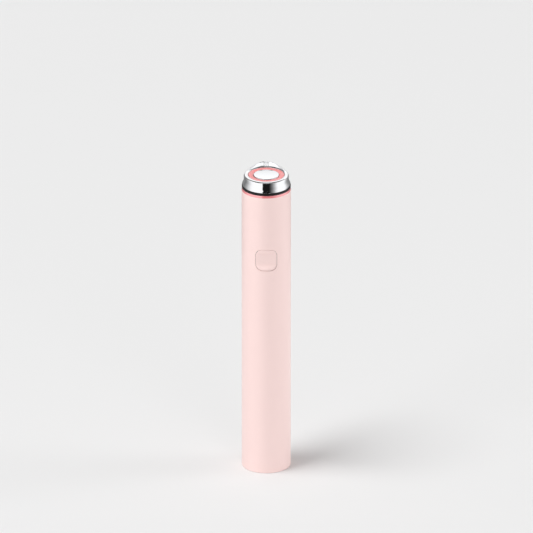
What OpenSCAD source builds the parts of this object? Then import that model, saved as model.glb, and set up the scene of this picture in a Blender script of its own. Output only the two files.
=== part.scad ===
// Hand-held skin booster: a slim round wand with a flush push button, a chromed head with a
// light ring round a centre electrode, and a charging port in its flat base.
// Frame: +Z runs up the body, the origin is the centre of the base, the button faces -Y.
// All lengths are millimetres.

/* [Battery, which sets the size of the tube round it] */
// Diameter of the battery cell
cell_d = 14; // [13:0.1:16]
// Length of the battery cell
cell_len = 50; // [44:0.5:60]
// Thickness of the foam between the cell and the main board
pad_t = 0.5; // [0.3:0.1:1]
// Height of the bay for wires under the cell
wire_bay = 6.7; // [6:0.1:9]
// Height from the cell's top to the centre of the button
upper_bay = 34.8; // [31:0.2:40]

/* [Body tube] */
// Wall thickness of the body tube
tube_wall = 1.2; // [1:0.05:1.4]
// Radius of the tube's rounded lower edge
tube_foot_round = 0.3; // [0.2:0.1:0.9]
// Height of the polished bevel round the tube's top edge
bevel_h = 1.2; // [0.5:0.1:1.5]
// Depth of the polished bevel round the tube's top edge
bevel_in = 0.3; // [0.2:0.05:0.5]

/* [Button] */
// Width of the push button
button_w = 9.9; // [9.5:0.1:11]
// Height of the push button
button_h = 10.6; // [10:0.1:12]
// Corner radius of the push button
button_round = 3.2; // [2:0.1:4]
// Distance from the tube's top edge down to the button's centre
button_drop = 33.1; // [30:0.1:40]
// Gap between the button and the edge of its opening
button_gap = 0.12; // [0.08:0.02:0.3]
// Travel of the button when it is pressed
button_travel = 0.4; // [0.2:0.05:0.45]
// Width of the raised border round the button's dish
button_border = 1.2; // [0.8:0.1:1.8]
// Depth of the dish below the crown of the button
dish_depth = 0.8; // [0.5:0.1:1]
// Height of the dish's deepest line above the centre of the button
dish_rise = 1.5; // [0:0.1:2]
// Thickness of the flange that keeps the button in the tube
flange_t = 0.8; // [0.6:0.1:0.9]
// Height of the stem inside the button
stem_h = 0.3; // [0.2:0.05:0.5]
// Reach of the flange above and below the button's opening
flange_reach = 1; // [0.6:0.1:1.2]
// Diameter of the button's two guide pins
guide_pin_d = 1.6; // [1.2:0.1:1.8]
// Distance between the centres of the two guide pins
guide_pin_pitch = 8.4; // [8:0.1:9]

/* [Head] */
// Step from the tube's side in to the edge of the flat rim
rim_step = 1; // [0.9:0.05:1.3]
// Width of the flat rim
rim_band = 2.1; // [1.6:0.1:2.4]
// Step from the tube's side in to the collar's lower edge
collar_step = 0.15; // [0:0.05:0.4]
// Height of the collar
collar_h = 4.7; // [4.5:0.1:5.5]
// Height of the straight neck under the rim
collar_neck_h = 2; // [1.2:0.1:2.4]
// Height of the straight foot under the collar's flare
collar_foot_h = 0.4; // [0.2:0.1:0.6]
// Thickness of the collar's top plate
collar_lip_t = 1.2; // [0.8:0.1:1.3]
// Height of the raised lobe at the back of the rim
lobe_h = 2.3; // [1.5:0.1:3]
// Radius of the lobe's crown
lobe_crown_r = 7; // [5:0.5:10]
// Distance from the lobe's ends in to the rim's widest points
lobe_inset = 0.2; // [0.1:0.1:1]
// Thickness of the lobe at its foot
lobe_t = 1.6; // [1.3:0.1:1.8]
// Thickness of the lobe at its crest
lobe_crest_t = 0.4; // [0.3:0.1:0.8]
// Height of the black insulating ring under the collar
insulator_h = 1.2; // [1:0.1:2]
// Step from the tube's side in to the black insulating ring
insulator_step = 0.15; // [0:0.05:0.3]
// Width of the visible light ring
light_w = 2.3; // [2.1:0.1:2.5]
// Diameter of the centre electrode's stem
stem_d = 3; // [2:0.1:4]
// Number of lamps under the light ring
lamp_count = 8; // [4:1:10]
// Depth of the head base inside the tube
head_depth = 8; // [7:0.5:9]

/* [End cap and charging port] */
// Thickness of the end cap
cap_t = 1.6; // [1.4:0.1:2]
// Height of the end cap's snap skirt
skirt_h = 4.8; // [4:0.1:6]
// Wall thickness of the snap skirt
skirt_wall = 1.1; // [0.9:0.1:1.4]
// Number of slots that part the skirt into snap fingers
finger_slots = 4; // [2:1:6]
// Width of the charging socket's shell
usb_w = 8.94; // [8.8:0.02:9.1]
// Height of the charging socket's shell
usb_h = 3.26; // [3.1:0.02:3.4]
// Length of the charging socket
usb_len = 7.3; // [6.5:0.1:8]
// Sheet thickness of the socket's shell
usb_wall = 0.3; // [0.2:0.05:0.35]
// Depth of the socket's mouth behind the base
usb_set = 0.5; // [0.3:0.1:0.8]

/* [Boards] */
// Thickness of the circuit boards
board_t = 1; // [0.8:0.1:1.2]
// Width of the main board
board_w = 14; // [13:0.1:14.4]
// Width of the charging board
charge_w = 14; // [13:0.1:14.4]
// Length of the charging board
charge_len = 15; // [13:0.2:18]
// Room between the main board's face and the bore of the tube
front_room = 3.7; // [3.5:0.05:4.2]
// Width of the push switch
switch_w = 4.6; // [4:0.1:4.8]
// Height of the push switch above the board
switch_h = 1.6; // [1.4:0.1:1.7]
// Diameter of the switch's plunger
plunger_d = 2; // [1.6:0.1:2.4]

/* [Chassis] */
// Wall thickness of the chassis
chassis_wall = 1.1; // [0.9:0.05:1.4]
// Thickness of the chassis's ribs and bulkheads
rib_t = 1.2; // [0.8:0.1:1.6]
// Number of ribs that cradle the battery
cradle_ribs = 5; // [3:1:7]
// Thickness of the chassis's top plate
top_plate_t = 2; // [1.6:0.1:3]
// Diameter of the screws
screw_d = 1.6; // [1.4:0.1:2]
// Diameter of the screw heads
screw_head_d = 2.8; // [2.5:0.1:3.2]
// Distance between the two screws of the head
head_screw_pitch = 12; // [11:0.1:12.4]

/* [Vibration motor] */
// Diameter of the motor's can
motor_d = 6; // [5:0.1:6.4]
// Length of the motor's can
motor_len = 12; // [10:0.2:13]
// Diameter of the motor's shaft
shaft_d = 1; // [0.8:0.1:1.2]
// Diameter of the eccentric weight
weight_d = 5.4; // [4:0.1:5.8]
// Length of the eccentric weight
weight_len = 4; // [3:0.1:5]
// Wall thickness of the rubber sleeve round the motor
sleeve_t = 0.6; // [0.4:0.1:0.8]
// Distance from the chassis's inner wall to the motor's axis
motor_depth = 6.4; // [6:0.1:6.8]

/* [Fits] */
// Clearance of a part that drops or snaps into its seat
fit_gap = 0.1; // [0.05:0.01:0.14]
// Clearance of a running shaft or sliding pin, on the radius
run_gap = 0.06; // [0.04:0.01:0.09]

/* [Hidden] */
$fn = 96;
cut = 1;

// Across the tube: chassis wall, cell, foam, board and the room in front fill the bore.
chassis_gap = 2 * fit_gap;
stack = chassis_gap + chassis_wall + fit_gap + cell_d + pad_t + board_t + front_room;
bore_r = stack / 2;
tube_r = bore_r + tube_wall;

// Up the tube: charging board, wires, cell, the bay under the button, and the head.
charge_z = cap_t + 0.5;
cell_z = charge_z + charge_len + wire_bay;
cell_top = cell_z + cell_len;
button_z = cell_top + upper_bay;
tube_len = button_z + button_drop;

// Snap rings in the bore: how far they reach in, how high they are and where they sit.
snap_depth = 0.3;
snap_half = 0.6;
cap_snap_z = cap_t + skirt_h * 0.6;
head_snap_z = tube_len - head_depth + 1.8;

// Head levels, counted up from the tube's top edge.
head_r = bore_r - fit_gap;
head_skirt_r = head_r - 1.2;
neck_r = bore_r - 0.7;
neck_wall = 1.1;
neck_bore_r = neck_r - neck_wall;
collar_z = tube_len + insulator_h;
rim_z = collar_z + collar_h;
lip_z = rim_z - collar_lip_t;
collar_bore_r = neck_r + fit_gap;
collar_r = tube_r - collar_step;
rim_r = tube_r - rim_step;
light_r = rim_r - rim_band;
electrode_r = light_r - light_w - fit_gap;
light_flange_t = 1;
light_flange_z = lip_z - fit_gap - light_flange_t;
light_board_t = 0.8;
lamp_size = 1.6;
lamp_h = 0.5;
light_board_z = light_flange_z - light_board_t - lamp_h;
ledge_t = 1;
ledge_w = 0.9;
seal_d = 1;
seal_z = head_snap_z + 2.4;
head_floor_z = tube_len - head_depth;
head_floor_t = 1.4;
contact_d = 1.6;
contact_z = light_board_z - 2.6;

// End cap, socket and charging board.
cap_r = bore_r - fit_gap;
cap_top = cap_t + skirt_h;
charge_y = usb_h / 2;
leg_h = 1.2;
leg_z = [usb_set + 2.2, usb_set + usb_len - 2];

// Chassis, battery and main board.
chassis_r = bore_r - chassis_gap;
chassis_in_r = chassis_r - chassis_wall;
chassis_z = cap_top;
chassis_top = head_floor_z;
cell_y = chassis_in_r - fit_gap - cell_d / 2;
board_front = front_room - bore_r;
board_back = board_front + board_t;
tab_t = 0.15;
low_bulkhead_z = cell_z - tab_t - fit_gap - rib_t;
high_bulkhead_z = cell_top + tab_t + fit_gap;
board_z = cell_z - 6.5;
board_top = chassis_top - top_plate_t - 2;
low_screw_z = cell_z - 3.6;
high_screw_z = board_top - 10;
screw_len = 5;
boss_d = screw_d + 2.6;
boss_back = board_back + screw_len;
rail_in = board_w / 2 - 1.6;
rail_d = 1.8;
transformer_z = cell_top + rib_t + 11;
transformer_w = 11;
core_h = 10;
core_t = 4;
coil_w = 6.4;
leg_w = 2.6;
window_h = 6.6;
bobbin_t = 0.8;
transformer_y = board_back + bobbin_t + 0.2 + core_t / 2 + (coil_w - core_t) / 2;

// Vibration motor, behind the button.
motor_y = chassis_in_r - motor_depth;
motor_z = button_z - 9;
motor_top = motor_z + motor_len;
sleeve_r = motor_d / 2 + fit_gap / 2 + sleeve_t;
shaft_in = 1.4;
shaft_out = weight_len + 1.2;
weight_z = motor_top + 0.7;

// Button, switch and guide.
guide_face = -bore_r + 2.4;
cap_in_r = bore_r - button_gap - flange_t;
plunger_face = stem_h - cap_in_r;
plunger_in = board_front - switch_h + 0.5;
pin_end = board_front - button_travel - 0.15;
dish_w = button_w - 2 * button_border;
dish_half = button_h / 2 - button_border;
dish_reach = dish_half + dish_rise;
dish_r = (dish_reach * dish_reach + dish_depth * dish_depth) / (2 * dish_depth);

// Routes of the wires, each a short list of points chosen by hand. Both ends are square-on.
cell_plus_route = [
    [0, cell_y, cell_top + tab_t],
    [0, cell_y, cell_top + 1.2],
    [-0.8, cell_y - 1.6, cell_top + 2.8],
    [-3, board_back + 2.2, cell_top + 3.8],
    [-4, board_back + 0.7, cell_top + 4],
    [-4, board_back, cell_top + 4]
];
cell_minus_route = [
    [0, cell_y, cell_z - tab_t],
    [0, cell_y, cell_z - 1.6],
    [1.2, cell_y - 0.6, cell_z - 2.8],
    [3.4, board_back + 4.6, cell_z - 3.8],
    [4.6, board_back + 1, cell_z - 4.2],
    [4.6, board_back, cell_z - 4.2]
];
charge_end_z = charge_z + charge_len - 1.2;
charge_route = [
    [0, charge_y, charge_end_z],
    [0, charge_y - 0.7, charge_end_z],
    [0, charge_y - 2, charge_end_z + 1.2],
    [0, board_back + 2.4, board_z + 2],
    [0, board_back + 0.7, board_z + 1.4],
    [0, board_back, board_z + 1.4]
];
motor_route = [
    [0, motor_y, motor_z],
    [0, motor_y, motor_z - 1],
    [0, motor_y - 1.4, motor_z - 2.4],
    [0, board_back + 2.6, motor_z - 3],
    [0, board_back + 0.7, motor_z - 3.2],
    [0, board_back, motor_z - 3.2]
];
contact_route = [
    [0, 0, head_floor_z - 0.5],
    [0, 0, head_floor_z - 1.3],
    [0, -1.2, head_floor_z - 3],
    [0, board_back + 2.4, head_floor_z - 5.2],
    [0, board_back + 0.7, head_floor_z - 5.6],
    [0, board_back, head_floor_z - 5.6]
];
wire_d = 0.8;

shell_pink = [0.93, 0.75, 0.73];
button_pink = [0.94, 0.77, 0.75];
chrome = [0.82, 0.83, 0.85];
black = [0.08, 0.08, 0.09];
coral = [0.95, 0.52, 0.5];
white_plastic = [0.9, 0.9, 0.88];
grey_plastic = [0.55, 0.57, 0.6];
board_green = [0.1, 0.35, 0.22];
brass = [0.8, 0.62, 0.3];
steel = [0.7, 0.71, 0.73];
copper = [0.72, 0.4, 0.2];
cell_blue = [0.2, 0.35, 0.6];
red_wire = [0.75, 0.12, 0.1];

// Rectangle with round corners, centred.
module rounded(w, h, r) {
    square([w - 2 * r, h], center = true);
    square([w, h - 2 * r], center = true);
    for (x = [-1, 1], y = [-1, 1])
        translate([x * (w / 2 - r), y * (h / 2 - r)])
            circle(r);
}

// Slot with fully round ends, centred.
module stadium(w, h) {
    square([w - h, h], center = true);
    for (x = [-1, 1])
        translate([x * (w - h) / 2, 0])
            circle(h / 2);
}

// Extrudes an outline drawn in X and Z from the depth y0 back to the depth y1.
module along_y(y0, y1, z = 0) {
    translate([0, y1, z])
        rotate([90, 0, 0])
            linear_extrude(y1 - y0)
                children();
}

// Corner waste outside an arc, for rounding a lower outer edge.
module corner_waste(r) {
    difference() {
        translate([0, -r - cut])
            square(r + cut);
        circle(r);
    }
}

// Box given by its two corners.
module box(low, high) {
    translate(low)
        cube(high - low);
}

// Wire along a list of points: square-on rings of six corners, joined by flat faces.
function unit(v) = v / norm(v);
function tangent(p, i) = unit(p[min(i + 1, len(p) - 1)] - p[max(i - 1, 0)]);
function ring_at(c, t, r) =
    let (side = unit(cross(t, [1, 0.02, 0.01])), up = cross(side, t))
    [for (k = [0:5]) c + r * (cos(60 * k) * side + sin(60 * k) * up)];
module wire(route, d) {
    count = len(route);
    points = [for (i = [0:count - 1]) each ring_at(route[i], tangent(route, i), d / 2)];
    sides = [for (i = [0:count - 2], k = [0:5]) each [
        [6 * i + k, 6 * i + (k + 1) % 6, 6 * i + 6 + k],
        [6 * i + (k + 1) % 6, 6 * i + 6 + (k + 1) % 6, 6 * i + 6 + k]
    ]];
    ends = [[5, 4, 3, 2, 1, 0], [for (k = [0:5]) 6 * (count - 1) + k]];
    polyhedron(points, concat(sides, ends));
}

// Drawn aluminium tube with a rounded foot, a polished top bevel and two snap grooves.
module body_tube() {
    color(shell_pink)
        difference() {
            rotate_extrude()
                difference() {
                    translate([bore_r, 0])
                        square([tube_wall, tube_len]);
                    translate([tube_r - tube_foot_round, tube_foot_round])
                        corner_waste(tube_foot_round);
                    polygon([
                        [tube_r, tube_len - bevel_h],
                        [tube_r + cut, tube_len - bevel_h],
                        [tube_r + cut, tube_len + cut],
                        [tube_r - bevel_in, tube_len + cut],
                        [tube_r - bevel_in, tube_len]
                    ]);
                    for (z = [cap_snap_z, head_snap_z])
                        translate([bore_r - cut, z - snap_half])
                            square([snap_depth + cut, 2 * snap_half]);
                }
            along_y(-tube_r - cut, 0, button_z)
                rounded(button_w + 2 * button_gap, button_h + 2 * button_gap,
                    button_round + button_gap);
        }
}

// Moulded base plate with a slotted snap skirt and the mouth of the charging port.
module end_cap() {
    edge = 0.3;
    ridge = snap_depth - fit_gap;
    slot_w = 1.2;
    color(shell_pink)
        difference() {
            rotate_extrude()
                polygon([
                    [0, 0],
                    [cap_r - edge, 0],
                    [cap_r, edge],
                    [cap_r, cap_snap_z - snap_half + fit_gap],
                    [cap_r + ridge, cap_snap_z],
                    [cap_r, cap_snap_z + snap_half - fit_gap],
                    [cap_r, cap_top],
                    [cap_r - skirt_wall, cap_top],
                    [cap_r - skirt_wall, cap_t],
                    [0, cap_t]
                ]);
            translate([0, 0, -cut])
                linear_extrude(cap_t + 2 * cut)
                    stadium(usb_w + 2 * fit_gap, usb_h + 2 * fit_gap);
            translate([0, 0, -cut])
                linear_extrude(edge + cut)
                    stadium(usb_w + 2 * fit_gap + 2 * edge, usb_h + 2 * fit_gap + 2 * edge);
            for (i = [0:finger_slots - 1])
                rotate(45 + 360 / finger_slots * i)
                    box([cap_r - skirt_wall - 0.4, -slot_w / 2, cap_t + 0.8],
                        [cap_r + cut, slot_w / 2, cap_top + cut]);
        }
}

// Drawn steel shell of the charging socket, closed at the back, with four solder legs.
module usb_shell() {
    color(steel) {
        translate([0, 0, usb_set])
            difference() {
                linear_extrude(usb_len)
                    stadium(usb_w, usb_h);
                translate([0, 0, -cut])
                    linear_extrude(usb_len + cut - usb_wall)
                        stadium(usb_w - 2 * usb_wall, usb_h - 2 * usb_wall);
            }
        for (z = leg_z, s = [-1, 1])
            translate([s * (usb_w - usb_wall) / 2, 0, z])
                box([-usb_wall / 2, -0.3, -leg_h / 2],
                    [usb_wall / 2, charge_y + board_t + 0.5, leg_h / 2]);
    }
}

// Contact tongue of the charging socket on its moulded block.
module usb_tongue() {
    block_h = 1.6;
    block_z = usb_set + usb_len - usb_wall - block_h;
    tongue_w = 6.7;
    tongue_t = 0.7;
    color(black) {
        translate([0, 0, block_z])
            linear_extrude(block_h)
                stadium(usb_w - 2 * usb_wall - 0.1, usb_h - 2 * usb_wall - 0.1);
        box([-tongue_w / 2, -tongue_t / 2, usb_set + 0.9],
            [tongue_w / 2, tongue_t / 2, block_z + 0.2]);
    }
}

// Charging board, which stands in the chassis's two slotted rails.
module charge_board() {
    slot_gap = 0.1;
    color(board_green)
        difference() {
            box([-charge_w / 2, charge_y, charge_z],
                [charge_w / 2, charge_y + board_t, charge_z + charge_len]);
            for (z = leg_z, s = [-1, 1])
                translate([s * (usb_w - usb_wall) / 2, 0, z])
                    box([-usb_wall / 2 - slot_gap, charge_y - cut, -leg_h / 2 - slot_gap],
                        [usb_wall / 2 + slot_gap, charge_y + board_t + cut,
                            leg_h / 2 + slot_gap]);
        }
}

// Charging controller, coil and capacitors, soldered on both faces of the charging board.
module charge_parts() {
    chip = 3;
    chip_h = 0.8;
    first_z = usb_set + usb_len + 1.2;
    color(black) {
        for (x = [-3.4, 0.4])
            box([x, charge_y - chip_h, first_z], [x + chip, charge_y, first_z + chip]);
        for (x = [-4.6, -2.2, 0.2, 2.6])
            box([x, charge_y + board_t, first_z + 1],
                [x + 1.6, charge_y + board_t + 0.8, first_z + 1.8]);
    }
}

// Outline of the chassis, a round bar cut flat where the main board lies on it.
module chassis_outline(r) {
    intersection() {
        circle(r);
        translate([-r, board_back])
            square([2 * r, 2 * r]);
    }
}

// Moulded chassis: a half-open tube with cradle ribs, bulkheads, board rails and bosses.
module chassis() {
    rail_gap = 0.1;
    window_w = 5;
    rib_pitch = (cell_len - rib_t) / (cradle_ribs - 1);
    upper_ribs = [high_bulkhead_z, transformer_z + core_h / 2 + 1.2];
    motor_ribs = [motor_z + 1, motor_z + motor_len - 3];
    color(white_plastic)
        difference() {
            union() {
                translate([0, 0, chassis_z])
                    linear_extrude(chassis_top - chassis_z)
                        difference() {
                            chassis_outline(chassis_r);
                            circle(chassis_in_r);
                            translate([0, -bore_r])
                                square([2 * rail_in, 2 * bore_r], center = true);
                        }
                charge_rails(rail_gap);
                bulkhead(low_bulkhead_z);
                for (i = [0:cradle_ribs - 1])
                    translate([0, 0, cell_z + i * rib_pitch])
                        linear_extrude(rib_t)
                            cradle_outline();
                for (z = upper_ribs)
                    bulkhead(z);
                for (s = [-1, 1])
                    upper_rail(s);
                for (z = motor_ribs)
                    translate([0, 0, z])
                        linear_extrude(rib_t)
                            motor_rib_outline();
                cross_bar(button_z, switch_w);
                cross_bar(high_screw_z, boss_d);
                boss(high_screw_z);
                boss(low_screw_z);
                box([-boss_d / 2, board_back, low_screw_z],
                    [boss_d / 2, boss_back, low_bulkhead_z + rib_t / 2]);
                translate([0, 0, chassis_top - top_plate_t])
                    linear_extrude(top_plate_t)
                        chassis_outline(chassis_r - 0.05);
                for (s = [-1, 1])
                    translate([s * head_screw_pitch / 2, 0, chassis_top - screw_len - 1])
                        cylinder(d = boss_d, h = screw_len + 1);
            }
            for (z = [low_screw_z, high_screw_z])
                along_y(board_back - cut, boss_back - 0.4, z)
                    circle(d = screw_d + fit_gap);
            for (s = [-1, 1])
                translate([s * head_screw_pitch / 2, 0, chassis_top - screw_len - 0.5])
                    cylinder(d = screw_d + fit_gap, h = screw_len + cut + 0.5);
            translate([0, 0, chassis_top - top_plate_t - cut])
                cylinder(r = 3.2, h = top_plate_t + 2 * cut);
            for (i = [0:cradle_ribs - 2])
                side_window(cell_z + rib_t + i * rib_pitch + 1.2,
                    rib_pitch - rib_t - 2.4, window_w);
            side_window(transformer_z - core_h / 2 + 1, core_h - 2, window_w);
            side_window(button_z + 6, 7, window_w);
        }
}

// Two slotted rails that hold the charging board by its edges.
module charge_rails(gap) {
    rail_h = low_bulkhead_z - chassis_z;
    middle = charge_y + board_t / 2;
    translate([0, 0, chassis_z])
        linear_extrude(rail_h)
            intersection() {
                circle(chassis_r - 0.05);
                difference() {
                    for (s = [-1, 1])
                        translate([s * (charge_w / 2 + 0.9), middle])
                            square([4, board_t + 2.2], center = true);
                    translate([0, middle])
                        square([charge_w + 2 * gap, board_t + 2 * gap], center = true);
                }
            }
}

// Full cross wall with a notch for the wires.
module bulkhead(z) {
    notch_w = 4.4;
    translate([0, 0, z])
        linear_extrude(rib_t)
            difference() {
                chassis_outline(chassis_r - 0.05);
                translate([-notch_w / 2 - 2, board_back - cut])
                    square([notch_w, 3 + cut]);
                translate([0, cell_y])
                    circle(notch_w / 2);
            }
}

// Crescent rib that fits the battery.
module cradle_outline() {
    seat_r = cell_d / 2 + fit_gap;
    difference() {
        chassis_outline(chassis_r - 0.05);
        translate([0, cell_y])
            circle(seat_r);
        translate([-seat_r, cell_y - 2 * bore_r])
            square([2 * seat_r, 2 * bore_r]);
    }
}

// Rib with an open U seat for the motor's sleeve.
module motor_rib_outline() {
    seat_r = sleeve_r + fit_gap / 2;
    reach = 2.2;
    intersection() {
        chassis_outline(chassis_r - 0.05);
        difference() {
            translate([-bore_r, motor_y - reach])
                square([2 * bore_r, 2 * bore_r]);
            translate([0, motor_y])
                circle(seat_r);
            translate([-seat_r, motor_y - 2 * bore_r])
                square([2 * seat_r, 2 * bore_r]);
        }
    }
}

// Ledge under one long edge of the main board, above the battery.
module upper_rail(side) {
    rail_z = cell_top + rib_t;
    translate([0, 0, rail_z])
        linear_extrude(chassis_top - rail_z)
            intersection() {
                circle(chassis_r - 0.05);
                translate([side > 0 ? rail_in : -rail_in - 4, board_back])
                    square([4, rail_d]);
            }
}

// Bar across the chassis that backs the main board.
module cross_bar(z, h) {
    translate([0, 0, z - h / 2])
        linear_extrude(h)
            intersection() {
                circle(chassis_r - 0.05);
                translate([-bore_r, board_back])
                    square([2 * bore_r, rail_d]);
            }
}

// Round screw boss behind the main board.
module boss(z) {
    along_y(board_back, boss_back, z)
        circle(d = boss_d);
}

// Round-ended window through both side walls of the chassis.
module side_window(z, h, w) {
    translate([-bore_r - cut, cell_y, z + h / 2])
        rotate([90, 0, 90])
            linear_extrude(2 * bore_r + 2 * cut)
                rounded(w, h, 1.2);
}

// Rechargeable cell with its raised plus end.
module battery_cell() {
    edge = 0.5;
    color(cell_blue)
        translate([0, cell_y, cell_z])
            rotate_extrude()
                polygon([
                    [0, 0],
                    [cell_d / 2 - edge, 0],
                    [cell_d / 2, edge],
                    [cell_d / 2, cell_len - edge],
                    [cell_d / 2 - edge, cell_len],
                    [0, cell_len]
                ]);
}

// Welded strips on both ends of the cell.
module battery_tabs() {
    tab_w = 3;
    tab_len = 6;
    color(steel)
        for (z = [cell_z - tab_t, cell_top])
            box([-tab_w / 2, cell_y - tab_len / 2, z],
                [tab_w / 2, cell_y + tab_len / 2, z + tab_t]);
}

// Foam strip between the battery and the back of the main board.
module battery_pad() {
    pad_w = 8;
    foot = 2;
    color(grey_plastic)
        difference() {
            box([-pad_w / 2, board_back + 0.05, cell_z + foot],
                [pad_w / 2, board_back + 1.8, cell_top - foot]);
            translate([0, cell_y, cell_z])
                cylinder(r = cell_d / 2 + 0.05, h = cell_len);
        }
}

// Wires from the cell's two tabs to the main board.
module battery_leads() {
    color(red_wire) {
        wire(cell_plus_route, wire_d);
        wire(cell_minus_route, wire_d);
    }
}

// Pair of wires from the charging board to the main board.
module charge_leads() {
    color(red_wire)
        for (x = [-5.2, -3.8])
            translate([x, 0, 0])
                wire(charge_route, wire_d);
}

// Long main board with its two screw holes.
module main_board() {
    length = board_top - board_z;
    color(board_green)
        difference() {
            along_y(board_front, board_back, board_z + length / 2)
                rounded(board_w, length, 1);
            for (z = [low_screw_z, high_screw_z])
                along_y(board_front - cut, board_back + cut, z)
                    circle(d = screw_d + 2 * fit_gap);
        }
}

// Controller chip on the face of the main board.
module main_chip() {
    chip = 6;
    chip_h = 0.9;
    chip_z = cell_z + 0.6 * cell_len;
    color(black)
        box([-chip / 2, board_front - chip_h, chip_z],
            [chip / 2, board_front, chip_z + chip]);
}

// Coil, capacitors and resistors on the face of the main board.
module board_parts() {
    coil = 4;
    coil_h = 2;
    coil_z = cell_z + 0.35 * cell_len;
    part_w = 0.8;
    part_h = 1.6;
    part_pitch = 2.8;
    parts_per_row = 4;
    row_w = part_pitch * (parts_per_row - 1) + part_w;
    row_z = [cell_z + 0.2 * cell_len, cell_z + 0.75 * cell_len, transformer_z - core_h / 3];
    color(grey_plastic) {
        along_y(board_front - coil_h, board_front, coil_z)
            rounded(coil, coil, coil / 5);
        for (z = row_z, i = [0:parts_per_row - 1])
            translate([i * part_pitch - row_w / 2, board_front - part_w, z])
                cube([part_w, part_w, part_h]);
    }
}

// Pan-head screw along +Z, with the underside of its head at the origin.
module screw(length) {
    head_h = 0.9;
    rotate_extrude()
        polygon([
            [0, -length],
            [screw_d / 2 - 0.4, -length],
            [screw_d / 2, -length + 0.6],
            [screw_d / 2, 0],
            [screw_head_d / 2, 0],
            [screw_head_d / 2, head_h * 0.6],
            [screw_head_d / 2 - 0.4, head_h],
            [0.5, head_h],
            [0.5, head_h * 0.4],
            [0, head_h * 0.4]
        ]);
}

// Two screws that hold the main board on the chassis.
module board_screws() {
    color(steel)
        for (z = [low_screw_z, high_screw_z])
            translate([0, board_front, z])
                rotate([90, 0, 0])
                    screw(board_t + screw_len - 1);
}

// Ferrite frame of the step-up transformer, open round its middle leg.
module transformer_core() {
    window_w = (transformer_w - leg_w) / 2 - 1.8;
    color(grey_plastic)
        difference() {
            box([-transformer_w / 2, transformer_y - core_t / 2, transformer_z - core_h / 2],
                [transformer_w / 2, transformer_y + core_t / 2, transformer_z + core_h / 2]);
            for (s = [-1, 1])
                translate([s * (leg_w + window_w) / 2, transformer_y, transformer_z])
                    cube([window_w, core_t + 2 * cut, window_h], center = true);
        }
}

// Wound bobbin of the transformer, on a foot that is soldered to the main board.
module transformer_coil() {
    gap = 0.1;
    color(copper) {
        difference() {
            along_y(transformer_y - coil_w / 2, transformer_y + coil_w / 2, transformer_z)
                rounded(coil_w - 0.2, window_h - 0.2, 0.5);
            translate([0, transformer_y, transformer_z])
                cube([leg_w + 2 * gap, core_t + 2 * gap, core_h], center = true);
        }
        box([-coil_w / 2, board_back, transformer_z - window_h / 2],
            [coil_w / 2, board_back + bobbin_t, transformer_z + window_h / 2]);
    }
}

// Body of the push switch with the well that guides its plunger.
module switch_body() {
    color(black)
        difference() {
            along_y(board_front - switch_h, board_front, button_z)
                rounded(switch_w, switch_w, 0.4);
            along_y(board_front - switch_h - cut, plunger_in + button_travel + 0.15, button_z)
                circle(d = plunger_d + 2 * run_gap);
        }
}

// Moulded frame on the main board, with the two bushes that guide the button.
module button_guide() {
    side_wall = 1.2;
    bush_wall = 0.9;
    frame_w = switch_w + 2 * side_wall;
    frame_h = guide_pin_pitch + guide_pin_d + 2 * bush_wall;
    color(grey_plastic)
        difference() {
            along_y(guide_face, board_front, button_z)
                rounded(frame_w, frame_h, 1.2);
            along_y(guide_face - cut, board_front + cut, button_z)
                rounded(switch_w + 2 * fit_gap, switch_w + 2 * fit_gap, 0.3);
            for (s = [-1, 1])
                along_y(guide_face - cut, board_front + cut, button_z + s * guide_pin_pitch / 2)
                    circle(d = guide_pin_d + 2 * run_gap);
        }
}

// Push button: a flush cap, a curved flange inside the tube, a stem and two pins. Its thumb
// dish is deepest under the upper border and runs out at the lower one.
module button_cap() {
    flange_h = button_h + 2 * (button_gap + flange_reach);
    color(button_pink)
        difference() {
            union() {
                button_shell(tube_r, button_h);
                button_shell(bore_r - button_gap, flange_h);
                button_posts();
            }
            intersection() {
                along_y(-tube_r - cut, -bore_r + 1, button_z - button_border / 2)
                    rounded(dish_w, button_h - button_border, button_round - button_border + 0.4);
                translate([-button_w, dish_depth - tube_r - dish_r, button_z + dish_rise])
                    rotate([0, 90, 0])
                        cylinder(r = dish_r, h = 2 * button_w);
            }
        }
}

// Curved plate of the button's width, out to the radius r and in to the flange's back.
module button_shell(r, h) {
    intersection() {
        translate([0, 0, button_z - h])
            difference() {
                cylinder(r = r, h = 2 * h);
                cylinder(r = cap_in_r, h = 2 * h);
            }
        along_y(-tube_r - cut, -cap_in_r / 2, button_z)
            rounded(button_w, h, button_round);
    }
}

// Stem that presses the switch, and the two guide pins above and below it.
module button_posts() {
    stem_w = 3.4;
    root = -cap_in_r - flange_t / 2;
    along_y(root, plunger_face, button_z)
        circle(d = stem_w);
    for (s = [-1, 1])
        along_y(root, pin_end, button_z + s * guide_pin_pitch / 2)
            circle(d = guide_pin_d);
}

// Plunger of the push switch, which the button's stem rests on.
module switch_plunger() {
    color(white_plastic)
        along_y(plunger_face, plunger_in, button_z)
            circle(d = plunger_d);
}

// Steel can of the vibration motor, with the bush for its shaft.
module motor_can() {
    edge = 0.3;
    bush_r = shaft_d / 2 + run_gap;
    color(steel)
        translate([0, motor_y, motor_z])
            rotate_extrude()
                polygon([
                    [0, 0],
                    [motor_d / 2 - edge, 0],
                    [motor_d / 2, edge],
                    [motor_d / 2, motor_len - edge],
                    [motor_d / 2 - edge, motor_len],
                    [bush_r, motor_len],
                    [bush_r, motor_len - shaft_in - 0.2],
                    [0, motor_len - shaft_in - 0.2]
                ]);
}

// Rubber sleeve that holds the motor in its two ribs.
module motor_sleeve() {
    color(black)
        translate([0, motor_y, motor_z + 0.5])
            difference() {
                cylinder(r = sleeve_r, h = motor_len - 1.5);
                translate([0, 0, -cut])
                    cylinder(r = motor_d / 2 + fit_gap / 2, h = motor_len + cut);
            }
}

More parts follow.
